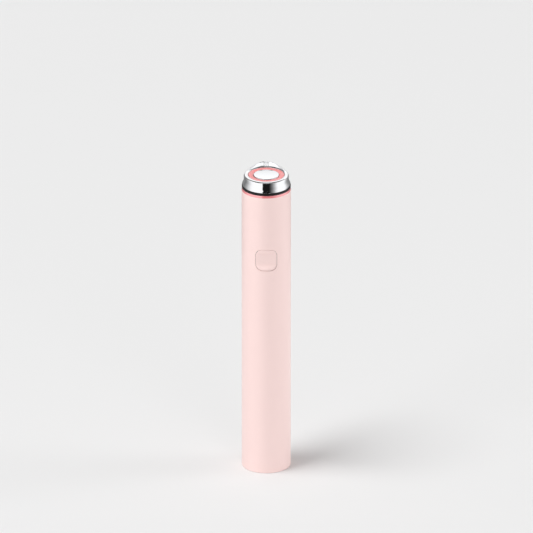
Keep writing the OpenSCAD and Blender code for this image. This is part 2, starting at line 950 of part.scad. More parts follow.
// Pair of wires from the motor to the main board.
module motor_leads() {
    color(red_wire)
        for (x = [-0.9, 0.9])
            translate([x, 0, 0])
                wire(motor_route, wire_d);
}

// Shaft of the vibration motor.
module motor_shaft() {
    color(steel)
        translate([0, motor_y, motor_top - shaft_in])
            cylinder(d = shaft_d, h = shaft_in + shaft_out);
}

// Half-round weight pressed on the motor's shaft.
module motor_weight() {
    hub_d = shaft_d + 1.2;
    color(brass)
        translate([0, motor_y, weight_z])
            difference() {
                union() {
                    intersection() {
                        cylinder(d = weight_d, h = weight_len);
                        translate([-weight_d, 0, 0])
                            cube([2 * weight_d, weight_d, weight_len]);
                    }
                    cylinder(d = hub_d, h = weight_len);
                }
                translate([0, 0, -cut])
                    cylinder(d = shaft_d + 0.04, h = weight_len + 2 * cut);
            }
}

// Moulded base of the head: a skirt in the tube, a screwed floor and the collar's neck.
module head_base() {
    ridge = snap_depth - fit_gap;
    groove_w = seal_d + 0.3;
    neck_top = light_flange_z;
    ledge_z = light_board_z - ledge_t;
    cable_w = 7;
    color(grey_plastic)
        difference() {
            rotate_extrude()
                difference() {
                    polygon([
                        [0, head_floor_z],
                        [head_r, head_floor_z],
                        [head_r, head_snap_z - snap_half + fit_gap],
                        [head_r + ridge, head_snap_z],
                        [head_r, head_snap_z + snap_half - fit_gap],
                        [head_r, tube_len],
                        [neck_r, tube_len],
                        [neck_r, neck_top],
                        [neck_bore_r, neck_top],
                        [neck_bore_r, light_board_z],
                        [neck_bore_r - ledge_w, light_board_z],
                        [neck_bore_r - ledge_w, ledge_z],
                        [head_skirt_r - 0.6, ledge_z - 1.2],
                        [head_skirt_r - 0.6, head_floor_z + head_floor_t],
                        [0, head_floor_z + head_floor_t]
                    ]);
                    translate([head_r - seal_d + 0.1, seal_z - groove_w / 2])
                        square([seal_d + cut, groove_w]);
                }
            for (s = [-1, 1])
                translate([s * head_screw_pitch / 2, 0, head_floor_z - cut])
                    cylinder(d = screw_d + 2 * fit_gap, h = head_floor_t + 2 * cut);
            translate([0, 0, head_floor_z - cut])
                cylinder(d = contact_d + 2 * fit_gap, h = head_floor_t + 2 * cut);
            box([-cable_w / 2, board_front - 1, head_floor_z - cut],
                [cable_w / 2, board_back + 0.4, head_floor_z + head_floor_t + cut]);
            box([neck_bore_r - 0.2, -1.1, light_board_z - 1],
                [neck_r + cut, 1.1, neck_top + cut]);
        }
}

// Two screws that tie the head base to the chassis.
module head_screws() {
    color(steel)
        for (s = [-1, 1])
            translate([s * head_screw_pitch / 2, 0, head_floor_z + head_floor_t])
                screw(head_floor_t + screw_len - 0.5);
}

// Rubber ring between the head base and the tube.
module head_seal() {
    color(black)
        rotate_extrude()
            translate([head_r - seal_d / 2 + 0.08, seal_z])
                circle(d = seal_d - 0.05);
}

// Black ring that parts the chromed collar from the metal tube.
module insulator_ring() {
    edge = 0.2;
    r = tube_r - insulator_step;
    color(black)
        rotate_extrude()
            polygon([
                [neck_r + fit_gap, tube_len],
                [r - edge, tube_len],
                [r, tube_len + edge],
                [r, collar_z - edge],
                [r - edge, collar_z],
                [neck_r + fit_gap, collar_z]
            ]);
}

// Outline of the lobe seen from the front: a crown that runs out into the rim in two arcs.
module lobe_outline() {
    lobe_reach = rim_r - lobe_inset;
    flank_r = (lobe_reach * lobe_reach + lobe_h * lobe_h) / (2 * lobe_h) - lobe_crown_r;
    meet_x = lobe_reach * lobe_crown_r / (lobe_crown_r + flank_r);
    meet_z = lobe_h - lobe_crown_r + sqrt(lobe_crown_r * lobe_crown_r - meet_x * meet_x);
    root = 0.5;
    sink = 0.02;
    difference() {
        intersection() {
            translate([-lobe_reach, -root])
                square([2 * lobe_reach, lobe_h + 2 * root]);
            union() {
                translate([0, lobe_h - lobe_crown_r])
                    circle(lobe_crown_r);
                translate([-lobe_reach, -root])
                    square([2 * lobe_reach, root + meet_z - sink]);
            }
        }
        for (s = [-1, 1])
            translate([s * lobe_reach, flank_r - sink])
                circle(flank_r);
    }
}

// Chromed collar: a straight neck that flares to its foot in a hollow arc, a flat rim, and a
// lobe at its back that leans outwards and thins to its crest.
module head_collar() {
    flare_top = rim_z - collar_neck_h;
    flare_h = collar_h - collar_neck_h - collar_foot_h;
    flare_out = collar_r - rim_r;
    flare_r = (flare_h * flare_h + flare_out * flare_out) / (2 * flare_out);
    sink = 0.02;
    lobe_front = 1.5;
    lobe_root = 0.4;
    color(chrome) {
        rotate_extrude() {
            translate([collar_bore_r, collar_z])
                square([rim_r - collar_bore_r, collar_h]);
            difference() {
                translate([collar_bore_r, collar_z])
                    square([collar_r - collar_bore_r, flare_top - collar_z]);
                translate([rim_r + flare_r - sink, flare_top])
                    circle(flare_r);
            }
            translate([light_r + fit_gap, lip_z])
                square([rim_r - light_r - fit_gap, collar_lip_t]);
        }
        intersection() {
            rotate_extrude()
                polygon([
                    [rim_r - lobe_t, rim_z - lobe_root],
                    [rim_r, rim_z - lobe_root],
                    [rim_r, rim_z + lobe_h + cut],
                    [rim_r - lobe_crest_t, rim_z + lobe_h + cut],
                    [rim_r - lobe_crest_t, rim_z + lobe_h],
                    [rim_r - lobe_t, rim_z]
                ]);
            along_y(lobe_front, rim_r + cut, rim_z)
                lobe_outline();
        }
    }
}

// Frosted light ring, held by its flange under the collar's lip, with a channel for the lamps.
module light_ring() {
    in_r = light_r - light_w;
    channel_wall = 0.4;
    channel_top = light_flange_z + light_flange_t + 0.3;
    ledge_in = electrode_r - 1.2;
    color(coral)
        rotate_extrude()
            polygon([
                [ledge_in, light_flange_z],
                [in_r + channel_wall, light_flange_z],
                [in_r + channel_wall, channel_top],
                [light_r - channel_wall, channel_top],
                [light_r - channel_wall, light_flange_z],
                [neck_r - fit_gap, light_flange_z],
                [neck_r - fit_gap, light_flange_z + light_flange_t],
                [light_r, light_flange_z + light_flange_t],
                [light_r, rim_z],
                [in_r, rim_z],
                [in_r, light_flange_z + light_flange_t - 0.1],
                [ledge_in, light_flange_z + light_flange_t - 0.1]
            ]);
}

// Polished centre electrode on its stem.
module centre_electrode() {
    edge = 0.2;
    seat_z = light_flange_z + light_flange_t - 0.1;
    color(chrome)
        rotate_extrude()
            polygon([
                [0, contact_z],
                [stem_d / 2, contact_z],
                [stem_d / 2, seat_z],
                [electrode_r, seat_z],
                [electrode_r, rim_z - edge],
                [electrode_r - edge, rim_z],
                [0, rim_z]
            ]);
}

// Ring-shaped board under the light ring.
module light_board() {
    color(board_green)
        translate([0, 0, light_board_z])
            difference() {
                cylinder(r = neck_bore_r - fit_gap, h = light_board_t);
                translate([0, 0, -cut])
                    cylinder(d = stem_d + 4 * fit_gap, h = light_board_t + 2 * cut);
            }
}

// Lamps on the light board, evenly round the ring.
module ring_lamps() {
    ring_r = light_r - light_w / 2;
    color(white_plastic)
        for (i = [0:lamp_count - 1])
            rotate(360 / lamp_count * (i + 0.5))
                translate([ring_r, 0, light_board_z + light_board_t + lamp_h / 2])
                    cube([1.2, lamp_size, lamp_h], center = true);
}

// Bent strip from the light board to the bore of the collar.
module collar_contact() {
    strip_t = 0.2;
    strip_w = 1.6;
    press_x = sqrt(collar_bore_r * collar_bore_r - strip_w * strip_w / 4) - 0.02;
    top_z = light_board_z + light_board_t + strip_t;
    color(brass) {
        box([neck_bore_r - 1.6, -strip_w / 2, top_z - strip_t],
            [press_x, strip_w / 2, top_z]);
        box([press_x - strip_t, -strip_w / 2, light_board_z - 0.8],
            [press_x, strip_w / 2, top_z]);
    }
}

// Spring pin on the head base that presses on the electrode's stem.
module centre_contact() {
    floor_z = head_floor_z + head_floor_t;
    sleeve_h = 3;
    color(brass) {
        translate([0, 0, floor_z])
            cylinder(d = contact_d + 1.2, h = sleeve_h);
        translate([0, 0, head_floor_z - 0.5])
            cylinder(d = contact_d, h = head_floor_t + 0.5 + sleeve_h);
        translate([0, 0, floor_z + sleeve_h - 0.1])
            cylinder(d = contact_d - 0.6, h = contact_z - floor_z - sleeve_h + 0.1);
    }
}

// Wire from the spring pin to the main board.
module contact_lead() {
    color(red_wire)
        wire(contact_route, wire_d);
}

// Flat cable from the main board up to the light board, with a plug at its lower end.
module head_cable() {
    cable_w = 5;
    cable_t = 0.2;
    plug_h = 2.4;
    low_z = board_top - 4;
    color(white_plastic) {
        box([-cable_w / 2, board_front - cable_t, low_z],
            [cable_w / 2, board_front, light_board_z]);
        box([-cable_w / 2 - 0.6, board_front - 1, low_z - plug_h],
            [cable_w / 2 + 0.6, board_front, low_z + 0.2]);
    }
}

body_tube();
end_cap();
usb_shell();
usb_tongue();
charge_board();
charge_parts();
chassis();
battery_cell();
battery_tabs();
battery_pad();
battery_leads();
charge_leads();
main_board();
main_chip();
board_parts();
board_screws();
transformer_core();
transformer_coil();
switch_body();
button_guide();
button_cap();
switch_plunger();
motor_can();
motor_sleeve();
motor_leads();
motor_shaft();
motor_weight();
head_base();
head_screws();
head_seal();
insulator_ring();
head_collar();
light_ring();
centre_electrode();
light_board();
ring_lamps();
collar_contact();
centre_contact();
contact_lead();
head_cable();
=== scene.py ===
import math

import bmesh
import bpy
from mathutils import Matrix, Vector


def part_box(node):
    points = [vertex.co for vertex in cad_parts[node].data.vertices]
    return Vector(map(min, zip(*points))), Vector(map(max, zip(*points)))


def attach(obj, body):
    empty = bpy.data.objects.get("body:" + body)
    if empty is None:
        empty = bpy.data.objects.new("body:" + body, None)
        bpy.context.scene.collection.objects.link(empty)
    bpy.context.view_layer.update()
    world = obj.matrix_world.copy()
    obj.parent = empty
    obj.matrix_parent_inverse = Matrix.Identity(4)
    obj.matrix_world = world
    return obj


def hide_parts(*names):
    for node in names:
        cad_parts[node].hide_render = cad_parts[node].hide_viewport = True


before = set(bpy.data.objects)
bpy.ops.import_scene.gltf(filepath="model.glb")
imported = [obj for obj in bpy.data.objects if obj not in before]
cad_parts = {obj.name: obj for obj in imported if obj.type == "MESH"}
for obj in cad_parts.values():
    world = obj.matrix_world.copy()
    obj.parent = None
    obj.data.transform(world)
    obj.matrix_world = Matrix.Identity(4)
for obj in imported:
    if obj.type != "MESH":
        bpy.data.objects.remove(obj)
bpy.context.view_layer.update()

# The photograph's camera
# A long lens far away, as in a catalogue picture, looking down on the upright wand. The
# wand's axis stands a hair left of the middle of the picture.
mm = 0.001
camera_lens = 1500
camera_sensor = 36
camera_elevation = math.radians(23.4)
view_width = 249.2 * mm
aim = Vector((0.1 * mm, 0, 100.7 * mm))

camera_distance = view_width * camera_lens / camera_sensor
camera_back = Vector((0, -math.cos(camera_elevation), math.sin(camera_elevation)))
bpy.ops.object.camera_add(
    location=aim + camera_back * camera_distance,
    rotation=(math.pi / 2 - camera_elevation, 0, 0))
camera = bpy.context.object
camera.data.lens = camera_lens
camera.data.sensor_width = camera_sensor
camera.data.clip_end = 4 * camera_distance
bpy.context.scene.camera = camera


# Charging socket
# A drawn steel shell with four solder legs, and in it a black tongue that carries the gilt
# contacts. Its mouth lies just behind the end cap.
contact_pitch = 0.5 * mm
contact_width = 0.55
tongue_block_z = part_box("usb_shell")[1].z - 1.9 * mm


def srgb(red, green, blue):
    """A colour given in steps of 255, as the linear colour that a shader takes."""
    steps = (red / 255, green / 255, blue / 255)
    return tuple(c / 12.92 if c < 0.04 else ((c + 0.055) / 1.055) ** 2.4 for c in steps)


def new_finish(name, colour, roughness, metallic=0.0, **more):
    """A finish whose even values are set on the shader's own sockets."""
    finish = bpy.data.materials.new(name)
    finish.use_nodes = True
    shader = finish.node_tree.nodes["Principled BSDF"]
    shader.inputs["Base Color"].default_value = (*colour, 1)
    shader.inputs["Roughness"].default_value = roughness
    shader.inputs["Metallic"].default_value = metallic
    for socket, value in more.items():
        shader.inputs[socket.replace("_", " ")].default_value = value
    return finish


def add_node(finish, kind, **inputs):
    """A node in a finish, with its inputs set to values or linked from other sockets."""
    node = finish.node_tree.nodes.new("ShaderNode" + kind)
    for socket, value in inputs.items():
        place = node.inputs[socket.replace("_", " ")]
        if isinstance(value, bpy.types.NodeSocket):
            finish.node_tree.links.new(value, place)
        else:
            place.default_value = value
    return node


def point_on(finish):
    """The point on the piece, in metres."""
    return add_node(finish, "TexCoord").outputs["Object"]


def set_input(finish, socket, value):
    """Links a pattern to one socket of a finish's shader."""
    shader = finish.node_tree.nodes["Principled BSDF"]
    finish.node_tree.links.new(value, shader.inputs[socket])


def span(finish, value, low, high, from_low=0, from_high=1):
    """Spreads a pattern's values over the range from_low to from_high, and stops there."""
    node = add_node(finish, "MapRange", Value=value, From_Min=low, From_Max=high,
                    To_Min=from_low, To_Max=from_high)
    return node.outputs["Result"]


def noise(finish, size, detail=3.0, stretch=(1, 1, 1)):
    """Even noise with spots of a given size in metres, stretched along an axis."""
    turned_place = add_node(finish, "Mapping", Vector=point_on(finish), Scale=stretch)
    pattern = add_node(finish, "TexNoise", Vector=turned_place.outputs["Vector"],
                       Scale=1 / size, Detail=detail, Roughness=0.6)
    return pattern.outputs["Fac"]


def cells(finish, size):
    """Distance from the middle of the nearest of many loose cells, in cell sizes."""
    pattern = add_node(finish, "TexVoronoi", Vector=point_on(finish), Scale=1 / size)
    return pattern.outputs["Distance"]


def stripes(finish, axis, pitch):
    """Soft stripes across an axis, a given pitch apart."""
    pattern = add_node(finish, "TexWave", Vector=point_on(finish), Scale=math.pi / 10 / pitch)
    pattern.bands_direction = axis
    return pattern.outputs["Fac"]


def past(finish, axis, level):
    """1 where the piece lies past a level on an axis, and 0 before it."""
    place = add_node(finish, "SeparateXYZ", Vector=point_on(finish))
    return span(finish, place.outputs[axis], level - 0.01 * mm, level + 0.01 * mm)


def times(finish, first, second):
    """The product of two patterns, so that one masks the other."""
    node = finish.node_tree.nodes.new("ShaderNodeMath")
    node.operation = "MULTIPLY"
    for place, value in zip(node.inputs, (first, second)):
        finish.node_tree.links.new(value, place)
    return node.outputs["Value"]


def two_tone(finish, share, first, second):
    """Mixes two colours, or colour patterns, by a pattern."""
    tones = [(*tone, 1) if isinstance(tone, tuple) else tone for tone in (first, second)]
    node = add_node(finish, "MixRGB", Fac=share, Color1=tones[0], Color2=tones[1])
    return node.outputs["Color"]


def relief(finish, *patterns):
    """Raises the surface by patterns, each with its height in metres."""
    normal = None
    for pattern, height in patterns:
        node = add_node(finish, "Bump", Height=pattern, Distance=height, Strength=1.0)
        if normal:
            finish.node_tree.links.new(normal, node.inputs["Normal"])
        normal = node.outputs["Normal"]
    set_input(finish, "Normal", normal)


def dress(finish, *names):
    """Gives construction pieces a finish."""
    for name in names:
        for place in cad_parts[name].material_slots:
            place.material = finish


drawn_steel = new_finish("drawn_steel", srgb(190, 192, 195), 0.28, metallic=1.0)
draw_lines = noise(drawn_steel, 0.3 * mm, stretch=(1, 1, 0.08))
set_input(drawn_steel, "Roughness", span(drawn_steel, draw_lines, 0.3, 0.7, 0.2, 0.4))
relief(drawn_steel, (draw_lines, 0.003 * mm))
dress(drawn_steel, "usb_shell")

gilt = srgb(222, 184, 108)
tongue_black = new_finish("tongue_black", srgb(24, 24, 26), 0.42)
contacts = times(
    tongue_black,
    span(tongue_black, stripes(tongue_black, "X", contact_pitch), contact_width,
         contact_width + 0.05),
    span(tongue_black, past(tongue_black, "Z", tongue_block_z), 0, 1, 1, 0))
set_input(tongue_black, "Base Color",
          two_tone(tongue_black, contacts, srgb(24, 24, 26), gilt))
set_input(tongue_black, "Metallic", contacts)
relief(tongue_black, (contacts, 0.03 * mm), (noise(tongue_black, 0.2 * mm), 0.004 * mm))
dress(tongue_black, "usb_tongue")


# Charging board
# A green glass-epoxy board with tinned pads, on which the socket, a charging chip, a power
# chip and a row of capacitors are soldered. It slides into the chassis's two rails.
board_green = new_finish("solder_mask", srgb(24, 92, 60), 0.35, Coat_Weight=0.3)
tracks = times(
    board_green,
    span(board_green, stripes(board_green, "X", 0.9 * mm), 0.62, 0.72),
    span(board_green, noise(board_green, 5 * mm, 0, (1, 1, 0.4)), 0.47, 0.5))
pads = span(board_green, cells(board_green, 1.7 * mm), 0.2, 0.23, 1, 0)
board_tone = two_tone(board_green, tracks, srgb(24, 92, 60), srgb(48, 122, 78))
set_input(board_green, "Base Color",
          two_tone(board_green, pads, board_tone, srgb(196, 198, 200)))
set_input(board_green, "Metallic", pads)
relief(board_green, (tracks, 0.035 * mm), (noise(board_green, 0.4 * mm), 0.01 * mm))
dress(board_green, "charge_board")

chip_black = new_finish("chip_epoxy", srgb(30, 30, 32), 0.55)
set_input(chip_black, "Base Color", two_tone(
    chip_black, noise(chip_black, 0.15 * mm), srgb(26, 26, 28), srgb(44, 44, 47)))
relief(chip_black, (noise(chip_black, 0.1 * mm), 0.008 * mm))
dress(chip_black, "charge_parts")


# Chassis
# One moulding of white, glass-filled plastic, half open to the front: it cradles the battery
# and the motor, and the boards are slid or screwed on. Its skin has a fine spark texture.
moulded_white = new_finish("moulded_white", srgb(232, 232, 226), 0.5)
set_input(moulded_white, "Base Color", two_tone(
    moulded_white, noise(moulded_white, 5 * mm), srgb(235, 235, 229), srgb(224, 225, 220)))
relief(moulded_white, (noise(moulded_white, 0.25 * mm), 0.02 * mm))
dress(moulded_white, "chassis")


# Battery
# A lithium cell in a blue shrink sleeve, open at its two steel ends, with a nickel strip
# welded on each. Foam holds it off the main board.
cell_low, cell_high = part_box("battery_cell")
shrink_sleeve = new_finish("shrink_sleeve", srgb(34, 84, 158), 0.25, Coat_Weight=0.4)
bare_end = past(shrink_sleeve, "Z", cell_high.z - 0.02 * mm)
sleeve_tone = two_tone(shrink_sleeve, noise(shrink_sleeve, 8 * mm), srgb(34, 84, 158),
                       srgb(26, 70, 140))
set_input(shrink_sleeve, "Base Color",
          two_tone(shrink_sleeve, bare_end, sleeve_tone, srgb(190, 191, 193)))
set_input(shrink_sleeve, "Metallic", bare_end)
relief(shrink_sleeve, (noise(shrink_sleeve, 3 * mm, 2, (1, 1, 0.15)), 0.05 * mm),
       (noise(shrink_sleeve, 0.3 * mm), 0.004 * mm))
dress(shrink_sleeve, "battery_cell")

nickel = new_finish("nickel_strip", srgb(200, 196, 188), 0.3, metallic=1.0)
welds = span(nickel, cells(nickel, 1.4 * mm), 0.16, 0.24, 1, 0)
set_input(nickel, "Roughness", span(nickel, noise(nickel, 0.3 * mm), 0.3, 0.7, 0.22, 0.4))
relief(nickel, (welds, 0.02 * mm), (noise(nickel, 0.2 * mm, stretch=(0.1, 1, 1)), 0.002 * mm))
dress(nickel, "battery_tabs")

open_foam = new_finish("open_foam", srgb(92, 94, 98), 0.95)
pores = cells(open_foam, 0.5 * mm)
# The darker pore hollows are painted shade; the lighter grey is the foam's own colour.
set_input(open_foam, "Base Color", two_tone(
    open_foam, span(open_foam, pores, 0.1, 0.6), srgb(48, 49, 52), srgb(104, 106, 110)))
relief(open_foam, (pores, 0.15 * mm))
dress(open_foam, "battery_pad")


# Wires
# Pairs of stranded wires in soft sleeves, red for plus and black for minus, that join the
# battery, the charging board and the motor to the main board. One red wire goes to the head.
wire_middle_z = (cell_low.z + cell_high.z) / 2
charge_pair_x = -4.5 * mm


def wire_pair(name, axis, level):
    """A wire sleeve that is red past a level and black before it."""
    finish = new_finish(name, srgb(176, 28, 26), 0.42, Coat_Weight=0.2)
    red = two_tone(finish, noise(finish, 1 * mm), srgb(180, 30, 27), srgb(162, 24, 22))
    set_input(finish, "Base Color",
              two_tone(finish, past(finish, axis, level), srgb(26, 26, 28), red))
    relief(finish, (noise(finish, 0.3 * mm), 0.008 * mm))
    return finish


dress(wire_pair("battery_wires", "Z", wire_middle_z), "battery_leads")
dress(wire_pair("charge_wires", "X", charge_pair_x), "charge_leads")
dress(wire_pair("motor_wires", "X", 0), "motor_leads")
dress(wire_pair("head_wire", "Z", 0), "contact_lead")


# Main board
# The long board with the controller, a coil and rows of small parts, all dark or grey, held
# on the chassis by two pan-head screws of zinc-plated steel.
dress(board_green, "main_board")
dress(chip_black, "main_chip")

sintered_grey = new_finish("sintered_grey", srgb(92, 93, 97), 0.6)
set_input(sintered_grey, "Base Color", two_tone(
    sintered_grey, noise(sintered_grey, 0.3 * mm), srgb(74, 75, 79), srgb(112, 112, 116)))
relief(sintered_grey, (noise(sintered_grey, 0.12 * mm), 0.01 * mm))
dress(sintered_grey, "board_parts")

zinc_plate = new_finish("zinc_plate", srgb(205, 207, 212), 0.3, metallic=1.0)
set_input(zinc_plate, "Base Color", two_tone(
    zinc_plate, noise(zinc_plate, 0.8 * mm), srgb(208, 210, 216), srgb(188, 190, 194)))
relief(zinc_plate, (noise(zinc_plate, 0.15 * mm), 0.006 * mm))
dress(zinc_plate, "board_screws")


# Step-up transformer
# A ferrite frame round a wound bobbin that makes the electrodes' pulses. The winding is
# enamelled copper wire in even turns, and the bobbin's black foot is soldered to the board.
winding_pitch = 0.24 * mm
bobbin_foot_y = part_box("transformer_coil")[0].y + 0.8 * mm
dress(sintered_grey, "transformer_core")

copper_winding = new_finish("copper_winding", srgb(184, 98, 50), 0.3, Coat_Weight=0.5)
turns = stripes(copper_winding, "Z", winding_pitch)
is_wound = past(copper_winding, "Y", bobbin_foot_y)
# The darker copper in the grooves between the turns is painted shade; the raised turns keep the
# copper's own tone.
copper_with_painted_groove_shade = two_tone(copper_winding, turns, srgb(116, 54, 24), srgb(196, 108, 56))
set_input(copper_winding, "Base Color",
          two_tone(copper_winding, is_wound, srgb(28, 28, 30), copper_with_painted_groove_shade))
set_input(copper_winding, "Metallic", is_wound)
relief(copper_winding, (times(copper_winding, turns, is_wound), 0.08 * mm))
dress(copper_winding, "transformer_coil")


# Push switch and button guide
# A sealed switch with a cream plunger, and round it a grey moulded frame with two bushes that
# keep the button square. The frame is glued to the main board.
dress(chip_black, "switch_body")
dress(moulded_white, "switch_plunger")

moulded_grey = new_finish("moulded_grey", srgb(128, 131, 137), 0.5)
set_input(moulded_grey, "Base Color", two_tone(
    moulded_grey, noise(moulded_grey, 4 * mm), srgb(130, 133, 139), srgb(118, 121, 128)))
relief(moulded_grey, (noise(moulded_grey, 0.25 * mm), 0.02 * mm))
dress(moulded_grey, "button_guide")


# Vibration motor
# A drawn steel can in a black rubber sleeve, with a ground shaft that carries a half-round
# brass weight. It lies in the chassis's two ribs, and the shaft and weight turn.
dress(drawn_steel, "motor_can", "motor_shaft")

black_rubber = new_finish("black_rubber", srgb(30, 30, 31), 0.75)
set_input(black_rubber, "Roughness", span(
    black_rubber, noise(black_rubber, 1.5 * mm), 0.3, 0.7, 0.65, 0.85))
relief(black_rubber, (noise(black_rubber, 0.2 * mm), 0.015 * mm))
dress(black_rubber, "motor_sleeve")

turned_brass = new_finish("turned_brass", srgb(206, 170, 98), 0.28, metallic=1.0)
tool_marks = noise(turned_brass, 0.15 * mm, 2, (0.05, 0.05, 1))
set_input(turned_brass, "Roughness", span(turned_brass, tool_marks, 0.3, 0.7, 0.2, 0.38))
relief(turned_brass, (tool_marks, 0.004 * mm))
dress(turned_brass, "motor_weight")


# Head base
# A grey moulding that snaps into the top of the tube, is screwed to the chassis and carries
# the head on its neck. A rubber ring in its groove keeps water out.
dress(moulded_grey, "head_base")
dress(zinc_plate, "head_screws")
dress(black_rubber, "head_seal")


# Light board, lamps and contacts
# A round board with eight lamps, fed by a flat white cable. A gilt strip touches the collar
# and a gilt spring pin touches the centre electrode.
lamp_ring_r = 7.25 * mm
lamp_window = 0.42 * mm
strip_pitch = 0.6 * mm
dress(board_green, "light_board")

lamp_body = new_finish("lamp_body", srgb(240, 240, 234), 0.3, Coat_Weight=0.4)
place = add_node(lamp_body, "SeparateXYZ", Vector=point_on(lamp_body))
flat_place = add_node(lamp_body, "CombineXYZ", X=place.outputs["X"], Y=place.outputs["Y"])
reach = add_node(lamp_body, "VectorMath", Vector=flat_place.outputs["Vector"])
reach.operation = "LENGTH"
from_ring = add_node(lamp_body, "MapRange", Value=reach.outputs["Value"],
                     From_Min=lamp_ring_r - lamp_window, From_Max=lamp_ring_r + lamp_window,
                     To_Min=-1, To_Max=1)
window = times(lamp_body, from_ring.outputs["Result"], from_ring.outputs["Result"])
phosphor = span(lamp_body, window, 0.9, 0.99, 1, 0)
set_input(lamp_body, "Base Color",
          two_tone(lamp_body, phosphor, srgb(240, 240, 234), srgb(246, 214, 96)))
relief(lamp_body, (phosphor, 0.02 * mm), (noise(lamp_body, 0.2 * mm), 0.003 * mm))
dress(lamp_body, "ring_lamps")

flat_cable = new_finish("flat_cable", srgb(236, 236, 232), 0.4, Coat_Weight=0.2)
strips = span(flat_cable, stripes(flat_cable, "X", strip_pitch), 0.5, 0.6)
set_input(flat_cable, "Base Color",
          two_tone(flat_cable, strips, srgb(240, 240, 236), srgb(206, 196, 182)))
relief(flat_cable, (strips, 0.03 * mm))
dress(flat_cable, "head_cable")

gilt_spring = new_finish("gilt_spring", gilt, 0.22, metallic=1.0)
set_input(gilt_spring, "Roughness", span(
    gilt_spring, noise(gilt_spring, 0.4 * mm), 0.3, 0.7, 0.16, 0.3))
relief(gilt_spring, (noise(gilt_spring, 0.12 * mm), 0.002 * mm))
dress(gilt_spring, "collar_contact", "centre_contact")


# Light ring
# A moulded ring of frosted coral plastic that spreads the lamps' light. Its flange is held
# under the collar's lip, a channel below takes the lamps, and its face lies just below the rim.
round_sides = 192
bevel_step = 0.03 * mm
joint_step = 0.15 * mm
disc_step = 0.35 * mm
light_low, light_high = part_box("light_ring")
rim_z = light_high.z
light_r = 8.4 * mm
light_in_r = light_r - 2.25 * mm
light_joint = 0.05 * mm
flange_low = light_low.z
flange_high = flange_low + 1 * mm
channel_wall = 0.4 * mm
channel_top = flange_high + 0.3 * mm
ledge_z = flange_high - 0.1 * mm
ledge_in_r = light_in_r - 1.3 * mm


def deselect():
    bpy.ops.object.select_all(action="DESELECT")


def near(a, b):
    return abs(a - b) < 0.01 * mm


def pick(piece, kind, wanted):
    """In edit mode, selects the vertices, edges or faces that a test wants."""
    bpy.ops.mesh.select_mode(type={"verts": "VERT", "edges": "EDGE", "faces": "FACE"}[kind])
    bpy.ops.mesh.select_all(action="DESELECT")
    mesh = bmesh.from_edit_mesh(piece.data)
    for part in getattr(mesh, kind):
        if wanted(part):
            part.select_set(True)
    mesh.select_flush_mode()
    bmesh.update_edit_mesh(piece.data)


def turned(name, rings, solid=False):
    """Draws a circle out ring by ring. Each ring is a radius, a height and a rounding."""
    deselect()
    radius, height, _ = rings[0]
    bpy.ops.mesh.primitive_circle_add(
        vertices=round_sides, radius=radius, location=(0, 0, height),
        fill_type="TRIFAN" if solid else "NOTHING")
    piece = bpy.context.object
    piece.name = piece.data.name = name
    bpy.ops.object.transform_apply(location=True, rotation=False, scale=False)
    bpy.ops.object.mode_set(mode="EDIT")
    bpy.ops.mesh.select_mode(type="FACE" if solid else "EDGE")
    bpy.ops.mesh.select_all(action="SELECT")
    last = rings[1:] if solid else rings[1:] + rings[:1]
    for next_radius, next_height, _ in last:
        bpy.ops.mesh.extrude_region_move(
            TRANSFORM_OT_translate={"value": (0, 0, next_height - height)})
        share = next_radius / radius
        bpy.ops.transform.resize(value=(share, share, 1), center_override=(0, 0, 0))
        radius, height = next_radius, next_height
    bpy.ops.mesh.select_all(action="SELECT")
    bpy.ops.mesh.remove_doubles(threshold=0.0005 * mm)
    for radius, height, rounding in rings:
        if rounding:
            pick(piece, "edges", lambda e: all(
                near(v.co.z, height) and near(math.hypot(v.co.x, v.co.y), radius)
                for v in e.verts))
            steps = max(6, round(rounding / bevel_step))
            bpy.ops.mesh.bevel(offset=rounding, segments=steps, affect="EDGES")
    return piece


def smooth(piece, angle=35):
    """Merges doubles, turns the faces outwards and shades the piece smooth."""
    if piece.mode != "EDIT":
        bpy.ops.object.mode_set(mode="EDIT")
    bpy.ops.mesh.select_all(action="SELECT")
    bpy.ops.mesh.remove_doubles(threshold=0.0005 * mm)
    bpy.ops.mesh.normals_make_consistent(inside=False)
    bpy.ops.object.mode_set(mode="OBJECT")
    bpy.ops.object.shade_smooth_by_angle(angle=math.radians(angle))
    level = piece.modifiers.new("level", "WEIGHTED_NORMAL")
    level.keep_sharp = True
    bpy.ops.object.modifier_apply(modifier=level.name)


coral_ring = turned("coral_ring", [
    (ledge_in_r, flange_low, 0),
    (light_in_r + channel_wall, flange_low, 0),
    (light_in_r + channel_wall, channel_top, 0),
    (light_r - channel_wall, channel_top, 0),
    (light_r - channel_wall, flange_low, 0),
    (light_high.x, flange_low, 0.1 * mm),
    (light_high.x, flange_high, 0.1 * mm),
    (light_r - light_joint, flange_high, 0),
    (light_r - light_joint, rim_z - joint_step, 0.1 * mm),
    (light_in_r, rim_z - disc_step, 0.1 * mm),
    (light_in_r, ledge_z, 0),
    (ledge_in_r, ledge_z, 0),
])
smooth(coral_ring)
coral = srgb(255, 164, 163)
coral_deep = srgb(252, 155, 156)
frosted_coral = new_finish("frosted_coral", coral, 0.4, Subsurface_Weight=0.3,
                           Subsurface_Radius=(0.002, 0.0007, 0.0006), Subsurface_Scale=0.5)
set_input(frosted_coral, "Base Color",
          two_tone(frosted_coral, noise(frosted_coral, 1.5 * mm), coral, coral_deep))
relief(frosted_coral, (noise(frosted_coral, 0.12 * mm), 0.002 * mm))
coral_ring.data.materials.append(frosted_coral)
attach(coral_ring, "body")
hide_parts("light_ring")


# Centre electrode
# A turned steel disc on a short stem, polished and chromed, dropped into the light ring's
# seat. Its face has a very flat crown and a rounded edge.
disc_low, disc_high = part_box("centre_electrode")
disc_r = disc_high.x
disc_edge = 0.3 * mm
stem_r = 1.5 * mm
crown = 0.05 * mm
crown_steps = 7


def crown_z(radius):
    """Height of the disc's face at a radius, on one flat arc."""
    return rim_z - crown * (radius / disc_r) ** 2


